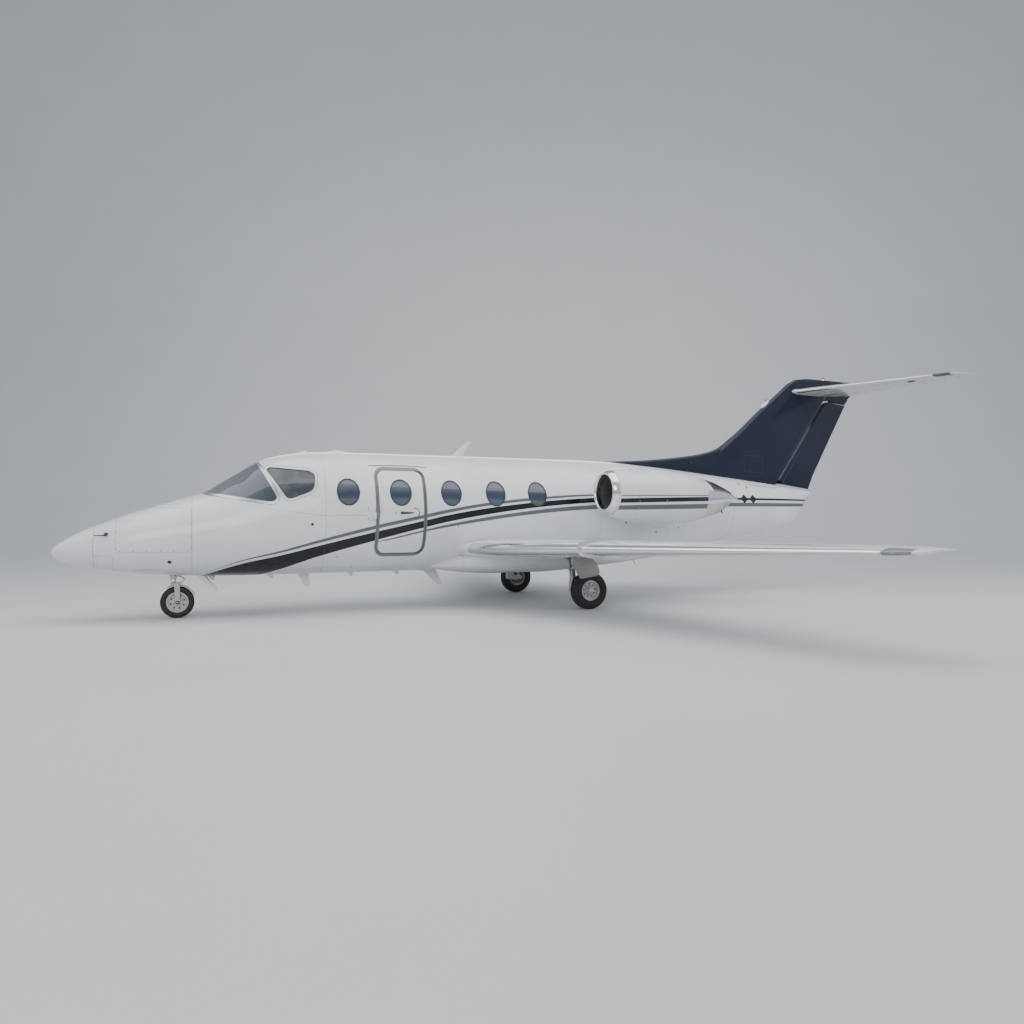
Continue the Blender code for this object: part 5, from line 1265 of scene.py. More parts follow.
for side, word in SIDES:
    curl = [LIP + t * t * (LIP_END - LIP) for t in np.linspace(0.02, 1, 16)]
    settle(cowl_sleeve("intake_lip_" + word, COWL, DUCT, curl, side, chrome), "polished_skin")
    cowl = cowl_sleeve("cowl_" + word, COWL, DUCT, spaced(LIP_END + 0.0012, 9.520, 0.04), side, cowl_white)
    settle(creased(cowl), "white_skin", "nacelle_" + word)
    rings = []
    for t in np.linspace(0, 1, 10):
        out, front, chord, half = 0.45 + 0.55 * t, 8.05 + 0.24 * t, 2.05 - 0.84 * t, 0.085 - 0.015 * t
        top = [(front + NOSE_X + share * chord, side * out,
                ENGINE_HEIGHT + half * flowing(ROOTED, math.sqrt(share))[0]) for share in reversed(SHARES)]
        rings.append(top + [(a, b, 2 * ENGINE_HEIGHT - c) for a, b, c in top[-2::-1]])
    settle(closed("pylon_" + word, rings, cowl_white), "white_skin")

    rows = spaced(9.5203, 10.150, 0.03)
    nozzle = cowl_sleeve("nozzle_cone_" + word, NOZZLE_OUTSIDE, NOZZLE_INSIDE, rows, side, nozzle_metal)
    settle(creased(nozzle), "polished_skin", "nozzle_" + word)
    covers = []
    for way in (-1, 1):
        rings = []
        for station in spaced(9.5203, 10.300, 0.026):
            near, far, foot, top = flowing(NOZZLE_COVER, station)
            arc = [(max(0.0, math.cos(a)) ** 0.72, powered(math.sin(a), 0.72))
                   for a in np.linspace(-math.pi / 2, math.pi / 2, 22)]
            rings.append([(station + NOSE_X, side * ENGINE_OUT + way * (near + (far - near) * y),
                           ENGINE_HEIGHT + (foot + top) / 2 + (top - foot) / 2 * z) for y, z in arc])
        covers.append(creased(closed("cover", rings, chrome)))
    settle(merged("nozzle_covers_" + word, *covers), "polished_skin")
    rings = []
    for t in np.linspace(0, 1, 12):
        station = 9.5205 + 0.165 * t
        half, top, foot = flowing(NOZZLE_OUTSIDE, station)
        arc = np.linspace(math.radians(13), math.radians(96 - 74 * t ** 0.8), 24)
        over, under = ([(station + NOSE_X, side * (ENGINE_OUT + (half + lift) * math.cos(a)),
                         (top + foot) / 2 + ((top - foot) / 2 + lift) * math.sin(a)) for a in arc]
                       for lift in (0.010 * (1 - 0.6 * t), -0.004))
        rings.append(over + under[::-1])
    settle(creased(closed("cowl_hook_" + word, rings, cowl_white)), "white_skin")
    vent = rod("drain_mast_" + word, (9.905, side * (ENGINE_OUT + 0.18), 1.600),
               (9.965, side * (ENGINE_OUT + 0.14), 1.490), 0.012, seal_rubber, 0.010, 12)
    settle(vent, "tyre")

    cone = [(-SPINNER_LONG + 0.0001, 0.0)]
    cone += [(-SPINNER_LONG + SPINNER_LONG * t * t, SPINNER_RADIUS * math.sin(math.pi / 2 * t ** 0.95))
             for t in np.linspace(0.03, 1, 16)]
    cone += [(0.0995, SPINNER_RADIUS), (0.0995, 0.0)]
    blades = [turned("spinner", cone, (NOSE_X + FAN_STATION, side * ENGINE_OUT, ENGINE_HEIGHT), (1, 0, 0),
                     fan_metal, 48)]
    for number in range(FAN_BLADES):
        around = 2 * math.pi * number / FAN_BLADES
        outward = Vector((0, math.cos(around), math.sin(around)))
        across = Vector((0, -math.sin(around), math.cos(around)))
        rings = []
        for t in np.linspace(0, 1, 7):
            turn = math.radians(28 + 34 * t)
            lie = Vector((math.cos(turn), 0, 0)) + across * math.sin(turn)
            face = Vector((-math.sin(turn), 0, 0)) + across * math.cos(turn)
            at = (Vector((NOSE_X + FAN_STATION + 0.045, side * ENGINE_OUT, ENGINE_HEIGHT))
                  + outward * (HUB_RADIUS + (FAN_RADIUS - 0.001 - HUB_RADIUS) * t))
            wide = 0.036 + 0.010 * t
            rings.append([at + lie * a * wide + face * (b + 0.006 * (1 - a * a)) for a, b in BLADE])
        blades.append(closed("blade", rings, fan_metal))
    settle(merged("fan_blades_" + word, *blades), "fan_metal", "fan_" + word, body="fan_" + word)
    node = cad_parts["engine_core_" + word]
    for held in node.material_slots:
        held.material = core_metal.material

# The nose gear: a plated steel leg with a drag brace in its well, and a steering fork that carries the wheel,
# a torque link behind and a grey moulded mudguard over the tyre.
STEER, NOSE_AXLE, NOSE_TYRE = 1.500, 1.553, 0.225    # two stations, and the tyre's radius and axle's height
NOSE_WELL = (((1.272, -0.123, 0.988), (1.698, 0.123, 0.998)),
             ((1.272, -0.1235, 0.642), (1.698, -0.119, 0.99)), ((1.272, 0.119, 0.642), (1.698, 0.1235, 0.99)),
             ((1.2715, -0.12, 0.642), (1.276, 0.12, 0.99)), ((1.694, -0.12, 0.642), (1.6985, 0.12, 0.99)))
NOSE_TUBE = ((0.0, 0.0), (0.0, 0.045), (0.030, 0.0505), (0.055, 0.0505), (0.062, 0.045), (0.34, 0.045),
             (0.352, 0.052), (0.375, 0.052), (0.385, 0.045), (0.4397, 0.045), (0.4397, 0.0))
FORK_ARM = ((1.512, 0.482), (1.588, 0.482), (1.584, 0.250), (1.576, 0.192), (1.530, 0.192), (1.522, 0.250))
MUDGUARD = ((-0.074, 0.236), (-0.070, 0.244), (-0.045, 0.251), (0.0, 0.253), (0.045, 0.251), (0.070, 0.244),
            (0.074, 0.236), (0.068, 0.237), (0.045, 0.2465), (0.0, 0.2485), (-0.045, 0.2465), (-0.068, 0.237))
UPPER_LINK = ((1.545, 0.600), (1.640, 0.545), (1.652, 0.560), (1.560, 0.625))
LOWER_LINK = ((1.655, 0.563), (1.668, 0.548), (1.596, 0.480), (1.575, 0.497))
NOSE_DISC = ((-0.042, 0.147), (-0.042, 0.128), (-0.022, 0.116), (-0.020, 0.052), (-0.040, 0.046),
             (-0.058, 0.034), (-0.058, 0.012), (0.058, 0.012), (0.058, 0.034), (0.040, 0.046), (0.020, 0.052),
             (0.022, 0.116), (0.042, 0.128), (0.042, 0.147))
BAY_FLAP = ((1.770, 0.628), (1.862, 0.628), (2.092, 0.385), (2.076, 0.366), (2.050, 0.368))
gear_steel = mottled("gear_steel", (25, 5), ((0.40, 0.40, 0.40), (0.60, 0.60, 0.60)),
                     ((50, 4), (0.2, 0.8), 0.2, 0.28), ((220, 3), 0.12, 0.001), Metallic=0.9)
gear_paint = Finish("gear_enamel", Coat_Weight=0.4, Coat_Roughness=0.15)
grime = gear_paint.noise(14, 6, 0.7).ramp(0.45, 0.75)
tone = gear_paint.mix(grime * 0.6, (0.50, 0.51, 0.52), (0.22, 0.21, 0.19))
gear_paint.set(Base_Color=tone, Roughness=grime * 0.25 + 0.35)
gear_paint.bump(gear_paint.noise(160, 3), 0.12, 0.001)
hose_rubber = mottled("hose_rubber", (70, 3), ((0.012, 0.012, 0.013), (0.035, 0.035, 0.036)), None,
                      ((300, 2), 0.25, 0.0008), Roughness=0.5)


def tyre_rubber(name, axle, height, radius):
    """Black rubber: grooves round the tread, a scuffed grey tread and a moulded ring on the wall."""
    p = Finish(name)
    across, up = p.station - axle, p.z - height
    away = across * across + up * up
    away = away.math("SQRT", away)
    tread = away.ramp(radius * 0.94, radius * 0.985)
    tone = p.mix(p.noise(18, 5), (0.011, 0.011, 0.012), (0.022, 0.022, 0.023))
    scuffs = tread * p.noise(35, 4, 0.6, (1, 0.4, 1)).ramp(0.3, 0.75) * 0.7
    p.set(Base_Color=p.mix(scuffs, tone, (0.055, 0.053, 0.050)), Roughness=tread * 0.15 + 0.62)
    ring = (abs(away - radius * 0.80) < 0.002) | (abs(away - radius * 0.90) < 0.0015)
    p.bump(ring * 0.6 + p.noise(350, 2) * 0.2, 0.5, 0.0015)
    return p


def tyre(name, radius, half, rim, origin, finish):
    """A rounded tyre with a beaded rim seat and three grooves round its tread."""
    wall = np.array([(0.0, rim + 0.002), (0.12, rim + 0.012), (0.40, rim + (radius - rim) * 0.42),
                     (0.75, radius * 0.935), (0.92, radius * 0.985), (1.0, radius)])
    across = np.array([(0.0, half * 0.74), (0.12, half * 0.86), (0.40, half), (0.75, half * 0.90),
                       (0.92, half * 0.62), (1.0, half * 0.44)])
    side = [(flowing(across, t)[0], flowing(wall, t)[0]) for t in np.linspace(0, 1, 16)]
    profile = list(side)
    edge, deep = 0.004, 0.006
    for place in (0.28, 0.0, -0.28):
        profile += [(half * place + edge, radius), (half * place + edge * 0.6, radius - deep),
                    (half * place - edge * 0.6, radius - deep), (half * place - edge, radius)]
    profile += [(-a, b) for a, b in reversed(side)]
    return turned(name, profile, origin, (0, 1, 0), finish, 72, 50)


def round_axle(count, out, origin, start):
    """Stations and heights of places evenly spaced in a circle round an axle."""
    angles = [2 * math.pi * i / count + start for i in range(count)]
    return [(origin[0] - NOSE_X + out * math.cos(a), origin[2] + out * math.sin(a)) for a in angles]


def ring_of_holes(piece, count, out, radius, origin, low, high, start):
    for x, z in round_axle(count, out, origin, start):
        carve(piece, "DIFFERENCE", rod("hole", (x, low, z), (x, high, z), radius, None, None, 16, 0))


def ring_of_bolts(count, out, radius, origin, level, face, finish, start):
    return [rod("bolt", (x, level, z), (x, level + face, z), radius, finish, None, 6, 0.001)
            for x, z in round_axle(count, out, origin, start)]


well = merged("nose_well", *(block(low, high, "wall", dark_well) for low, high in NOSE_WELL))
settle(well, "engine_steel")
eye_station = STEER - 0.045
leg = merged("nose_leg_tube",
             turned("tube", NOSE_TUBE, (STEER + NOSE_X, 0, 0.560), (0, 0, 1), gear_steel, 48),
             rod("brace", (STEER - 0.020, 0, 0.640), (1.330, 0, 0.975), 0.022, chrome),
             rod("brace_eye", (eye_station, -0.034, 0.655), (eye_station, 0.034, 0.655), 0.026, gear_steel),
             rounded_off(block((1.280, -0.05, 0.930), (1.380, 0.05, 0.9997), "foot", gear_paint), 0.004),
             rod("hose", (STEER + 0.030, -0.046, 0.600), (STEER + 0.040, -0.040, 0.960), 0.007, hose_rubber,
                 None, 12),
             rounded_off(block((STEER + 0.030, -0.028, 0.585), (STEER + 0.078, 0.028, 0.625), "link_lug",
                               gear_steel), 0.004),
             rod("lamp", (STEER - 0.085, 0, 0.735), (STEER - 0.045, 0, 0.735), 0.040, gear_paint, 0.034),
             rod("lamp_face", (STEER - 0.092, 0, 0.735), (STEER - 0.085, 0, 0.735), 0.037, lamp_glass))
settle(leg, "gear_steel", "nose_leg")
arms = []
for side in (-1, 1):
    arm = side_block(eased(FORK_ARM, 0.022), side * 0.0623, side * 0.082, "arm", gear_paint)
    arms.append(rounded_off(arm, 0.003))
    for name, start, end, radius, finish, end_radius, sides in (
            ("axle_end", 0.0624, 0.090, 0.027, hose_rubber, 0.024, 24),
            ("axle_nut", 0.080, 0.095, 0.010, chrome, None, 6)):
        arms.append(rod(name, (NOSE_AXLE, side * start, NOSE_TYRE), (NOSE_AXLE, side * end, NOSE_TYRE),
                        radius, finish, end_radius, sides))
axle = Vector((NOSE_AXLE + NOSE_X, 0, NOSE_TYRE))
guard = [[axle + Vector((math.cos(angle) * away, y, math.sin(angle) * away)) for y, away in MUDGUARD]
         for angle in np.linspace(math.radians(122), math.radians(24), 20)]
crown = rounded_off(block((1.462, -0.084, 0.482), (1.602, 0.084, 0.4995), "crown", gear_paint), 0.005)
fork = merged("nose_fork_legs",
              rod("piston", (STEER, 0, 0.5597), (STEER, 0, 0.498), 0.034, chrome, None, 40), crown, *arms,
              closed("mudguard", guard, gear_paint),
              rounded_off(side_block(UPPER_LINK, -0.020, 0.020, "upper_link", gear_steel), 0.003),
              rounded_off(side_block(LOWER_LINK, -0.026, 0.026, "lower_link", gear_steel), 0.003),
              rod("link_pin", (1.652, -0.034, 0.556), (1.652, 0.034, 0.556), 0.012, chrome))
settle(fork, "gear_steel", "nose_fork", body="nose_fork")
disc = turned("disc", NOSE_DISC, axle, (0, 1, 0), gear_paint, 72)
ring_of_holes(disc, 8, 0.092, 0.0120, axle, -0.1, 0.1, 0.3)
caps = [rod("cap", (NOSE_AXLE, way * 0.0575, NOSE_TYRE), (NOSE_AXLE, way * 0.0575 + way * 0.004, NOSE_TYRE),
            0.020, hose_rubber, None, 24) for way in (1, -1)]
SHADE = ((-0.003, 0.050), (-0.003, 0.118), (0.003, 0.118), (0.003, 0.050))
shade = turned("shade", SHADE, axle, (0, 1, 0), hose_rubber, 48)
bolts = [bolt for way in (-1, 1)
         for bolt in ring_of_bolts(8, 0.064, 0.0055, axle, way * 0.0195, way * 0.007, chrome, 0.1)]
wheel = merged("nose_wheel_disc", disc, shade, *caps, *bolts)
settle(wheel, "polished_skin", "nose_wheel", body="nose_wheel")
rubber = tyre_rubber("nose_tyre_rubber", NOSE_AXLE, NOSE_TYRE, NOSE_TYRE)
settle(tyre("nose_tyre", NOSE_TYRE, 0.056, 0.145, axle, rubber), "tyre", body="nose_wheel")
for side, word in SIDES:
    name = "nose_bay_flap_" + word
    flap_door = side_block(eased(BAY_FLAP, 0.010), side * 0.120, side * 0.130, name, fairing_paint)
    arm = rod("arm", (1.900, side * 0.118, 0.625), (2.020, side * 0.118, 0.440), 0.006, gear_steel, None, 12)
    settle(merged(name, rounded_off(flap_door, 0.0015), arm), "white_skin", "nose_bay_door_" + word)

# The main gear: a trailing link each side. The leg and its jack stand in the wing's bay, the wheel hangs
# outside the link, and a painted plate fixed to the leg closes the bay when the gear is up.
MAIN_AXLE, TRACK, MAIN_TYRE, LEG_OUT = 7.423, 1.420, 0.290, 1.265
MAIN_BAY = ((7.1005, 7.3595, 0.885, 0.894), (7.1003, 7.1045, 0.78, 0.89), (7.3555, 7.3597, 0.78, 0.89))
MAIN_TUBE = ((0.0, 0.0), (0.0, 0.046), (0.012, 0.050), (0.090, 0.050), (0.098, 0.041), (0.245, 0.041),
             (0.252, 0.050), (0.470, 0.050), (0.4747, 0.046), (0.4747, 0.0))
TRAILING_LINK = ((7.165, 0.262), (7.176, 0.442), (7.284, 0.448), (7.302, 0.345), (7.455, 0.328),
                 (7.478, 0.300), (7.462, 0.256), (7.300, 0.250))
LEG_PLATE = ((7.062, 0.808), (7.395, 0.814), (7.494, 0.723), (7.562, 0.577), (7.514, 0.519), (7.208, 0.480))
MAIN_DISC = ((0.070, 0.157), (0.070, 0.140), (0.030, 0.130), (0.026, 0.070), (0.045, 0.062), (0.075, 0.050),
             (0.082, 0.030), (0.082, 0.0), (-0.105, 0.0), (-0.105, 0.030), (-0.080, 0.054), (-0.030, 0.060),
             (-0.030, 0.130), (-0.070, 0.140), (-0.070, 0.157))
HUB_CAP = ((0.0821, 0.0), (0.0821, 0.036), (0.094, 0.034), (0.100, 0.024), (0.1015, 0.0))
BRAKE = ((-0.031, 0.112), (-0.031, 0.060), (-0.072, 0.060), (-0.072, 0.108), (-0.068, 0.112))
MAIN_SHADE = ((0.004, 0.058), (0.004, 0.131), (-0.004, 0.131), (-0.004, 0.058))
# Painted shade: the leg plate's white paint is given dark grey-beige tones, for the shade under the wing.
shaded_plate_paint = plain_paint("leg_door_shaded_paint", ((0.36, 0.355, 0.335), (0.30, 0.295, 0.28)))
for side, word in SIDES:
    y, hose_y, pivot_y = side * LEG_OUT, side * 1.316, side * 1.218
    walls = [block((front, side * 1.1655, foot), (back, side * 1.3745, top), "wall", dark_well)
             for front, back, foot, top in MAIN_BAY]
    settle(merged("main_bay_" + word, *walls), "engine_steel")
    link = side_block(eased(TRAILING_LINK, 0.026), side * 1.226, side * 1.3095, "link", gear_paint)
    tie = block((7.190, side * 1.280, 0.654), (7.270, side * 1.5315, 0.686), "tie", gear_paint)
    parts = [turned("tube", MAIN_TUBE, (7.230 + NOSE_X, y, 0.420), (0, 0, 1), gear_steel, 48),
             rounded_off(link, 0.006),
             rod("brace", (7.425, y, 0.300), (7.345, y, 0.486), 0.026, gear_steel),
             rod("slide", (7.345, y, 0.486), (7.262, y, 0.700), 0.018, chrome),
             rod("jack", (7.150, y, 0.785), (7.168, y, 0.600), 0.024, gear_paint),
             rod("ram", (7.168, y, 0.600), (7.185, y, 0.440), 0.015, chrome), rounded_off(tie, 0.004),
             rod("pivot", (7.232, pivot_y, 0.300), (7.232, side * 1.318, 0.300), 0.034, gear_steel),
             rod("stub", (MAIN_AXLE, side * 1.300, MAIN_TYRE), (MAIN_AXLE, side * 1.309, MAIN_TYRE), 0.040,
                 gear_steel),
             rod("hose", (7.195, side * 1.318, 0.62), (7.210, hose_y, 0.36), 0.008, hose_rubber, None, 12),
             rod("hose", (7.210, hose_y, 0.36), (7.390, side * 1.314, 0.345), 0.008, hose_rubber, None, 12)]
    settle(merged("main_leg_link_" + word, *parts), "gear_steel", "main_leg_" + word)
    plate = side_block(eased(LEG_PLATE, 0.035), side * 1.531, side * 1.541, "main_leg_plate_" + word,
                       shaded_plate_paint)
    settle(rounded_off(plate, 0.002), "white_skin")

    axle, outward = Vector((MAIN_AXLE + NOSE_X, side * TRACK, MAIN_TYRE)), (0, side, 0)
    wheel_body = "main_wheel_" + word
    disc = turned("disc", MAIN_DISC, axle, outward, gear_paint, 72)
    ring_of_holes(disc, 9, 0.098, 0.0160, axle, side * (TRACK - 0.15), side * (TRACK + 0.15), 0.2)
    nuts = ring_of_bolts(9, 0.066, 0.006, axle, side * (TRACK + 0.040), side * 0.010, chrome, 0.55)
    cap = turned("cap", HUB_CAP, axle, outward, strip_metal, 40)
    brake = turned("brake", BRAKE, axle, outward, core_metal, 48)
    shade = turned("shade", MAIN_SHADE, axle, outward, hose_rubber, 48)
    wheel = merged("main_wheel_disc_" + word, disc, shade, cap, brake, *nuts)
    settle(wheel, "polished_skin", wheel_body, body=wheel_body)
    rubber = tyre_rubber("main_tyre_rubber_" + word, MAIN_AXLE, MAIN_TYRE, MAIN_TYRE)
    settle(tyre("main_tyre_" + word, MAIN_TYRE, 0.097, 0.155, axle, rubber), "tyre", body=wheel_body)

# The cabin inside: a carpeted floor and seven leather chairs, two of them for the crew, each a foam cushion,
# back and head roll sewn in channels and mounted on a dark metal pedestal.
SEATS = ((2.95, 0.36, 1, (-1, 1)), (4.95, 0.38, -1, (1,)), (6.00, 0.38, 1, (-1, 1)), (6.95, 0.38, 1, (-1, 1)))
carpet = mottled("cabin_carpet", (90, 4), ((0.10, 0.095, 0.09), (0.19, 0.18, 0.165)), None,
                 ((700, 2, 0.6), 0.5, 0.002), Roughness=0.95)
leather = Finish("seat_leather", Roughness=0.46, Coat_Weight=0.12, Coat_Roughness=0.3)
leather.set(Base_Color=leather.mix(leather.noise(7, 4), (0.33, 0.29, 0.24), (0.44, 0.39, 0.33)))
leather.bump(leather.cells(90) * 0.5 + leather.noise(40, 4) * 0.4, 0.35, 0.0012)


def pad(name, at, size, channels=3):
    """A stuffed leather pad: crowned faces, sides pulled in to a sewn edge, and channels across its front."""
    rings, sides, squared = 26, 72, 0.42
    shaped = []
    for i in range(1, rings):
        up = math.pi * (i / rings - 0.5)
        flat, z = abs(math.cos(up)) ** squared, powered(math.sin(up), 0.62)
        seam = 1 - 0.020 * math.exp(-(z / 0.10) ** 2)
        ring = []
        for k in range(sides):
            around = 2 * math.pi * k / sides
            x, y = powered(math.cos(around), squared) * flat, powered(math.sin(around), squared) * flat
            sewn = min((abs(y - (j + 1) * 2 / (channels + 1) + 1) for j in range(channels)), default=1.0)
            sink = 1 - 0.10 * math.exp(-(sewn / 0.06) ** 2) * (abs(z) > 0.5)
            ring.append((at[0] + NOSE_X + size[0] * x * seam, at[1] + size[1] * y * seam,
                         at[2] + size[2] * z * sink))
        shaped.append(ring)
    return closed(name, shaped, leather)


def leaned(piece, station, y, z, facing):
    """Turns a pad made at the origin up into the chair's back."""
    place = Matrix.Translation((station + NOSE_X, y, z)) @ Matrix.Rotation(-facing * math.radians(88), 4, "Y")
    piece.data.transform(place @ Matrix.Translation((-NOSE_X, 0, 0)))
    return piece


cabin_carpet = block((2.002, -0.698, 0.8455), (7.898, 0.698, 0.885), "cabin_carpet", carpet)
inside = closed("inside", [skin_ring(s, 0.064, 64) for s in spaced(1.90, 7.98, 0.16)])
carve(cabin_carpet, "INTERSECT", inside)
settle(rounded_off(cabin_carpet, 0.003, above=50), "cabin_trim", "cabin_floor")
for number, (station, out, facing, sides) in enumerate(SEATS, 1):
    for side in sides:
        y = side * out
        label = "%d_%s" % (number, "left" if side < 0 else "right")
        cushion = pad("cushion", (station, y, 1.175), (0.225, 0.190, 0.085))
        back = pad("back", (0, 0, 0), (0.250, 0.180, 0.055))
        head = pad("head", (0, 0, 0), (0.080, 0.130, 0.045), 0)
        seat = merged("seat_pads_" + label, cushion,
                      leaned(back, station + facing * 0.222, y, 1.440, facing),
                      leaned(head, station + facing * 0.218, y, 1.752, facing))
        settle(seat, "cabin_trim")
        foot = block((station - 0.14, y - 0.13, 0.886), (station + 0.14, y + 0.13, 0.925), "foot", core_metal)
        pan = block((station - 0.20, y - 0.17, 1.070), (station + 0.20, y + 0.17, 1.100), "pan", core_metal)
        stand = merged("seat_frame_" + label, rounded_off(foot, 0.008),
                       rod("post", (station, y, 0.920), (station, y, 1.075), 0.055, core_metal),
                       rounded_off(pan, 0.010))
        settle(stand, "cabin_trim")

# The instrument panel: a dark moulded board under a glare hood, with glass displays, a row of knobs, a centre
# pedestal with two thrust levers and a control yoke on a column for each pilot.
BOARD = ((2.150, 1.250), (2.150, 1.560), (2.235, 1.598), (2.318, 1.596), (2.300, 1.560), (2.302, 1.250))
PEDESTAL = ((2.305, 0.886), (2.305, 1.245), (2.420, 1.290), (2.545, 1.200), (2.558, 0.886))
HORIZON = 1.462
board = mottled("panel_board", (60, 4), ((0.030, 0.031, 0.034), (0.055, 0.056, 0.060)), None,
                ((500, 2), 0.25, 0.0008), Roughness=0.62)
display = Finish("display_glass", Roughness=0.06, Coat_Weight=1.0, Coat_Roughness=0.02)
tone = display.mix(display.z > HORIZON, (0.012, 0.010, 0.008), (0.006, 0.012, 0.024))
display.set(Base_Color=display.mix(display.noise(30, 2) * 0.2, tone, (0.02, 0.02, 0.024)))
bits = [rounded_off(side_block(eased(BOARD, 0.012), -0.50, 0.50, "board", board), 0.006)]
for y in (-0.33, -0.115, 0.115, 0.33):
    bezel = block((2.300, y - 0.088, 1.385), (2.312, y + 0.088, 1.540), "bezel", core_metal)
    glass = block((2.310, y - 0.074, 1.398), (2.315, y + 0.074, 1.528), "glass", display)
    bits += [rounded_off(bezel, 0.004), rounded_off(glass, 0.001)]
for i in range(9):
    y = -0.40 + 0.1 * i
    bits.append(rod("knob", (2.300, y, 1.330), (2.320, y, 1.330), 0.014, core_metal, 0.011))
settle(merged("instrument_board", *bits), "cabin_trim", "instrument_panel")
bits = [rounded_off(side_block(eased(PEDESTAL, 0.02), -0.13, 0.13, "pedestal", board), 0.008)]
for y in (-0.032, 0.032):
    bits.append(rod("lever", (2.425, y, 1.270), (2.400, y, 1.360), 0.006, chrome))
    bits.append(rod("grip", (2.400, y - 0.022, 1.362), (2.400, y + 0.022, 1.362), 0.013, hose_rubber))
settle(merged("centre_pedestal", *bits), "cabin_trim")
for side, word in SIDES:
    y = side * 0.33
    horns = [rod("column", (2.314, y, 1.315), (2.480, y, 1.340), 0.014, core_metal),
             rod("hub", (2.465, y, 1.338), (2.500, y, 1.343), 0.032, board),
             rod("bar", (2.484, y - 0.105, 1.345), (2.484, y + 0.105, 1.345), 0.012, board)]
    for way in (-1, 1):
        near, far = y + way * 0.105, y + way * 0.125
        horns.append(rod("horn", (2.484, near, 1.338), (2.500, far, 1.435), 0.014, hose_rubber, 0.012))
    settle(merged("control_yoke_" + word, *horns), "cabin_trim")

# Small things on the skin: blade antennas and belly drains, two low humps on the roof, air data probes, dark
# vents and slots, screws round the access panel, the tail's ports, and the fin's probe and fillet port.
BLADES = {"top_antenna": ((2.380, 5.600, 5.808, 0.016), (2.675, 5.928, 6.008, 0.006)),
          "belly_antenna": ((0.600, 5.126, 5.373, 0.016), (0.335, 5.414, 5.498, 0.006)),
          "front_antenna": ((0.600, 3.197, 3.367, 0.012), (0.392, 3.308, 3.398, 0.005))}
DRAINS = {"belly_drain_%d" % number: ((0.590, station - 0.065, station + 0.045, 0.010),
                                      (0.518, station - 0.005, station + 0.030, 0.005))
          for number, station in enumerate((2.01, 2.82, 4.00, 4.73), 1)}
HUMPS = ((3.215, 3.365, 0.036, 0.040), (3.640, 3.930, 0.040, 0.055))   # front, back, height, half width
VENTS = ((3.309, 1.329, 0.022), (3.691, 0.850, 0.012), (3.934, 0.685, 0.014), (2.802, 0.640, 0.010),
         (5.491, 1.293, 0.011), (1.460, 0.818, 0.030), (8.485, 1.332, 0.016), (9.158, 1.168, 0.018),
         (9.657, 1.240, 0.016), (10.90, 1.491, 0.010))                 # station, height, radius
SCREW_COLUMNS = ((0.802, (1.009, 1.121, 1.226)), (1.722, (1.007, 1.169, 1.327)),
                 (0.530, (0.815, 0.945, 1.037, 1.119, 1.205)))
PORT = ((-0.004, 0), (-0.004, 0.030), (0.004, 0.026), (0.004, 0.018), (-0.001, 0.016), (-0.001, 0))
small_paint = plain_paint("small_parts_paint", WHITE_PAINT)
for name, (root, tip) in {**BLADES, **DRAINS}.items():
    rings = []
    for t in [k / 12 * 0.94 for k in range(13)] + [0.965, 0.985, 0.996, 1.0]:
        height, front, back, half = [a + (b - a) * t for a, b in zip(root, tip)]
        shrink = math.sqrt(max(0.03, 1 - max(0.0, (t - 0.94) / 0.0605) ** 2))
        middle, long = (front + back) / 2, (back - front) * (0.75 + 0.25 * shrink)
        top = [(middle - long / 2 + share * long + NOSE_X,
                half * shrink * flowing(ROOTED, math.sqrt(share))[0], height)
               for share in reversed(SHARES[::2])]
        rings.append(top + [(a, -b, c) for a, b, c in top[-2::-1]])
    blade = closed(name + "_blade", rings, small_paint)
    if name in DRAINS:
        settle(blade, "white_skin")
        continue
    settle(blade, "white_skin", name)
    _, front, back, _ = root
    level, way = (2.4235, 1) if root[0] > 1.0 else (0.5735, -1)
    rings = [[((front + back) / 2 + NOSE_X + ((back - front) / 2 + 0.022) * grow * math.cos(a),
               0.034 * grow * math.sin(a), level + lift * way)
              for a in np.linspace(0, 2 * math.pi, 40, endpoint=False)]
             for grow, lift in ((1.0, -0.012), (1.0, 0.003), (0.86, 0.007))]
    settle(creased(closed(name + "_foot", rings, small_paint)), "white_skin")
for number, (front, back, top, half) in enumerate(HUMPS, 1):
    rings = []
    for t in np.linspace(0, 1, 16):
        station = front + (back - front) * t
        level = flowing(SKIN, station)[0]
        rise = top * math.sin(math.pi * min(0.999, max(0.02, t))) ** 0.55
        wide = half * (0.35 + 0.65 * math.sin(math.pi * min(0.98, max(0.02, t))) ** 0.5)
        rings.append([(station + NOSE_X, wide * math.cos(a),
                       level - 0.006 + math.sin(a) ** 0.8 * rise if math.sin(a) > 0 else level - 0.012)
                      for a in np.linspace(0, 2 * math.pi, 28, endpoint=False)])
    settle(closed("roof_hump_%d" % number, rings, small_paint), "white_skin")
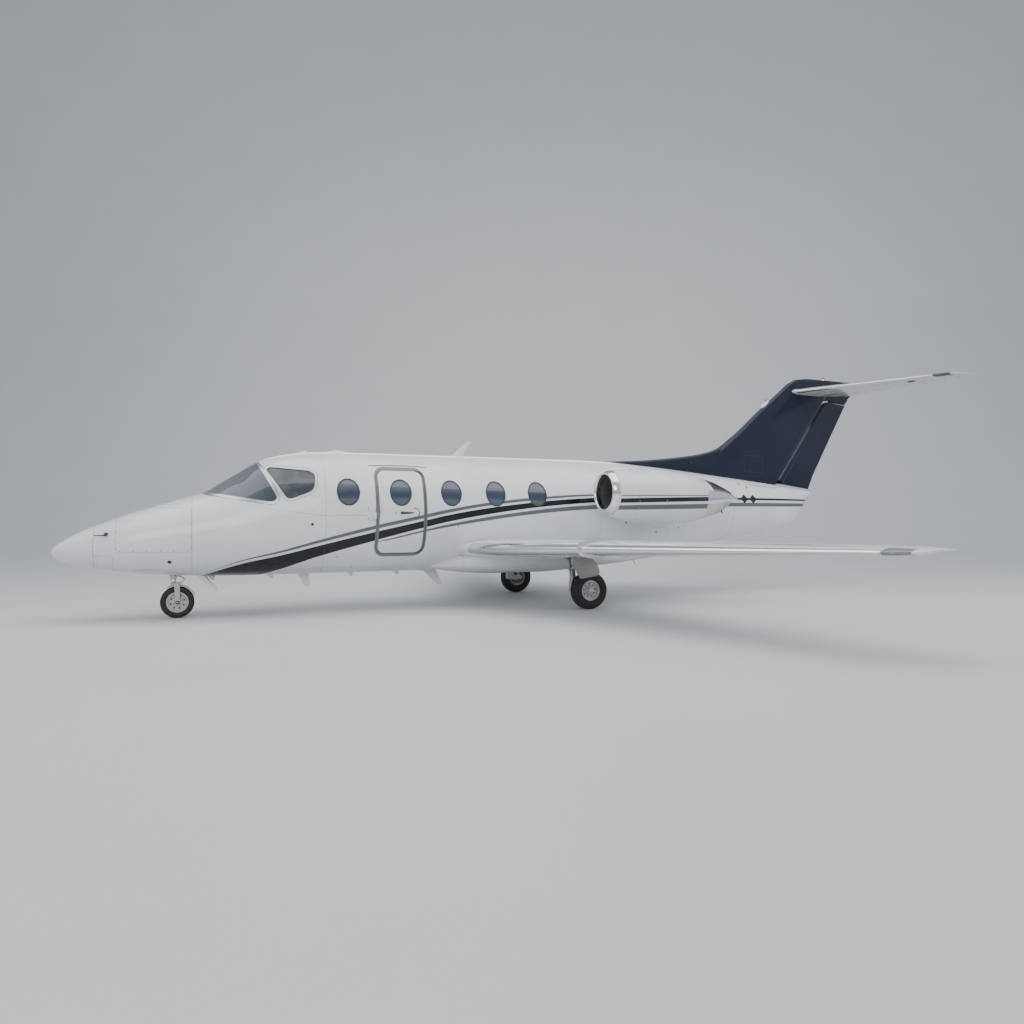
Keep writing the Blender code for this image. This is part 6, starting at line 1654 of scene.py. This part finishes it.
for side, word in SIDES:
    at, out = skin_stud(0.685, 1.201, side)
    x, y, z = at.x - NOSE_X, at.y, at.z
    stand_off = y + side * 0.075
    arm = rod("arm", (x, y, z), (x + 0.010, stand_off, z - 0.010), 0.013, dark_metal, 0.010)
    tube = rod("tube", (x + 0.020, stand_off, z - 0.010), (x - 0.135, stand_off, z - 0.014), 0.011,
               dark_metal, 0.006)
    plate = turned("plate", ((-0.004, 0), (-0.004, 0.030), (0.003, 0.028), (0.003, 0)), at, out, dark_metal,
                   32)
    settle(merged("air_data_probe_" + word, plate, arm, tube), "polished_skin")
    bits = []
    for station, height, radius in VENTS:
        vent = ((-0.004, 0), (-0.004, radius), (0.0015, radius * 0.92), (0.0020, 0))
        bits.append(turned("vent", vent, *skin_stud(station, height, side), seal_rubber, 24))
    for i in range(9):
        slot = ((-0.003, 0), (-0.003, 0.0085), (0.001, 0.0078), (0.001, 0))
        bits.append(turned("slot", slot, *skin_stud(1.025 + 0.029 * i, 0.705, side), seal_rubber, 16))
    settle(merged("skin_vents_" + word, *bits), "tyre")
    places = [skin_stud(0.851 + 0.166 * i, 0.973, side) for i in range(6)]
    places += [skin_stud(station, height, side) for station, heights in SCREW_COLUMNS for height in heights]
    settle(studs("panel_screws_" + word, places, 0.0072, seal_rubber), "polished_skin")
    mast = rod("drain_mast", (8.95, side * 0.30, 0.665), (8.99, side * 0.31, 0.580), 0.011, small_paint,
               0.007)
    ports = [turned("port", PORT, *skin_stud(station, height, side), seal_rubber, 28)
             for station, height in ((11.476, 1.994), (11.300, 2.048))]
    settle(merged("tail_ports_" + word, mast, *ports), "tyre")
rings = []
for t in np.linspace(0.0, 1.0, 15):
    station, height = 12.105 + 0.185 * t, 3.578 + 0.142 * t
    swell = math.sqrt(math.sin(math.pi * (0.04 + 0.92 * t)))
    rings.append([(station + NOSE_X - 0.030 * swell * math.cos(a), 0.026 * swell * math.sin(a),
                   height + 0.034 * swell * math.cos(a))
                  for a in np.linspace(0, 2 * math.pi, 28, endpoint=False)])
pod = closed("pod", rings, small_paint)
mast = rod("mast", (12.215, 0, 3.690), (12.222, 0, 3.742), 0.006, seal_rubber, 0.004, 12)
cap = rod("cap", (12.185, 0, 3.744), (12.262, 0, 3.748), 0.008, seal_rubber, 0.005, 12)
settle(merged("fin_edge_probe", pod, mast, cap), "white_skin")
strip = block((10.345, -0.075, 2.425), (10.380, 0.075, 2.462), "fin_fillet_port", seal_rubber)
settle(rounded_off(strip, 0.004), "tyre")
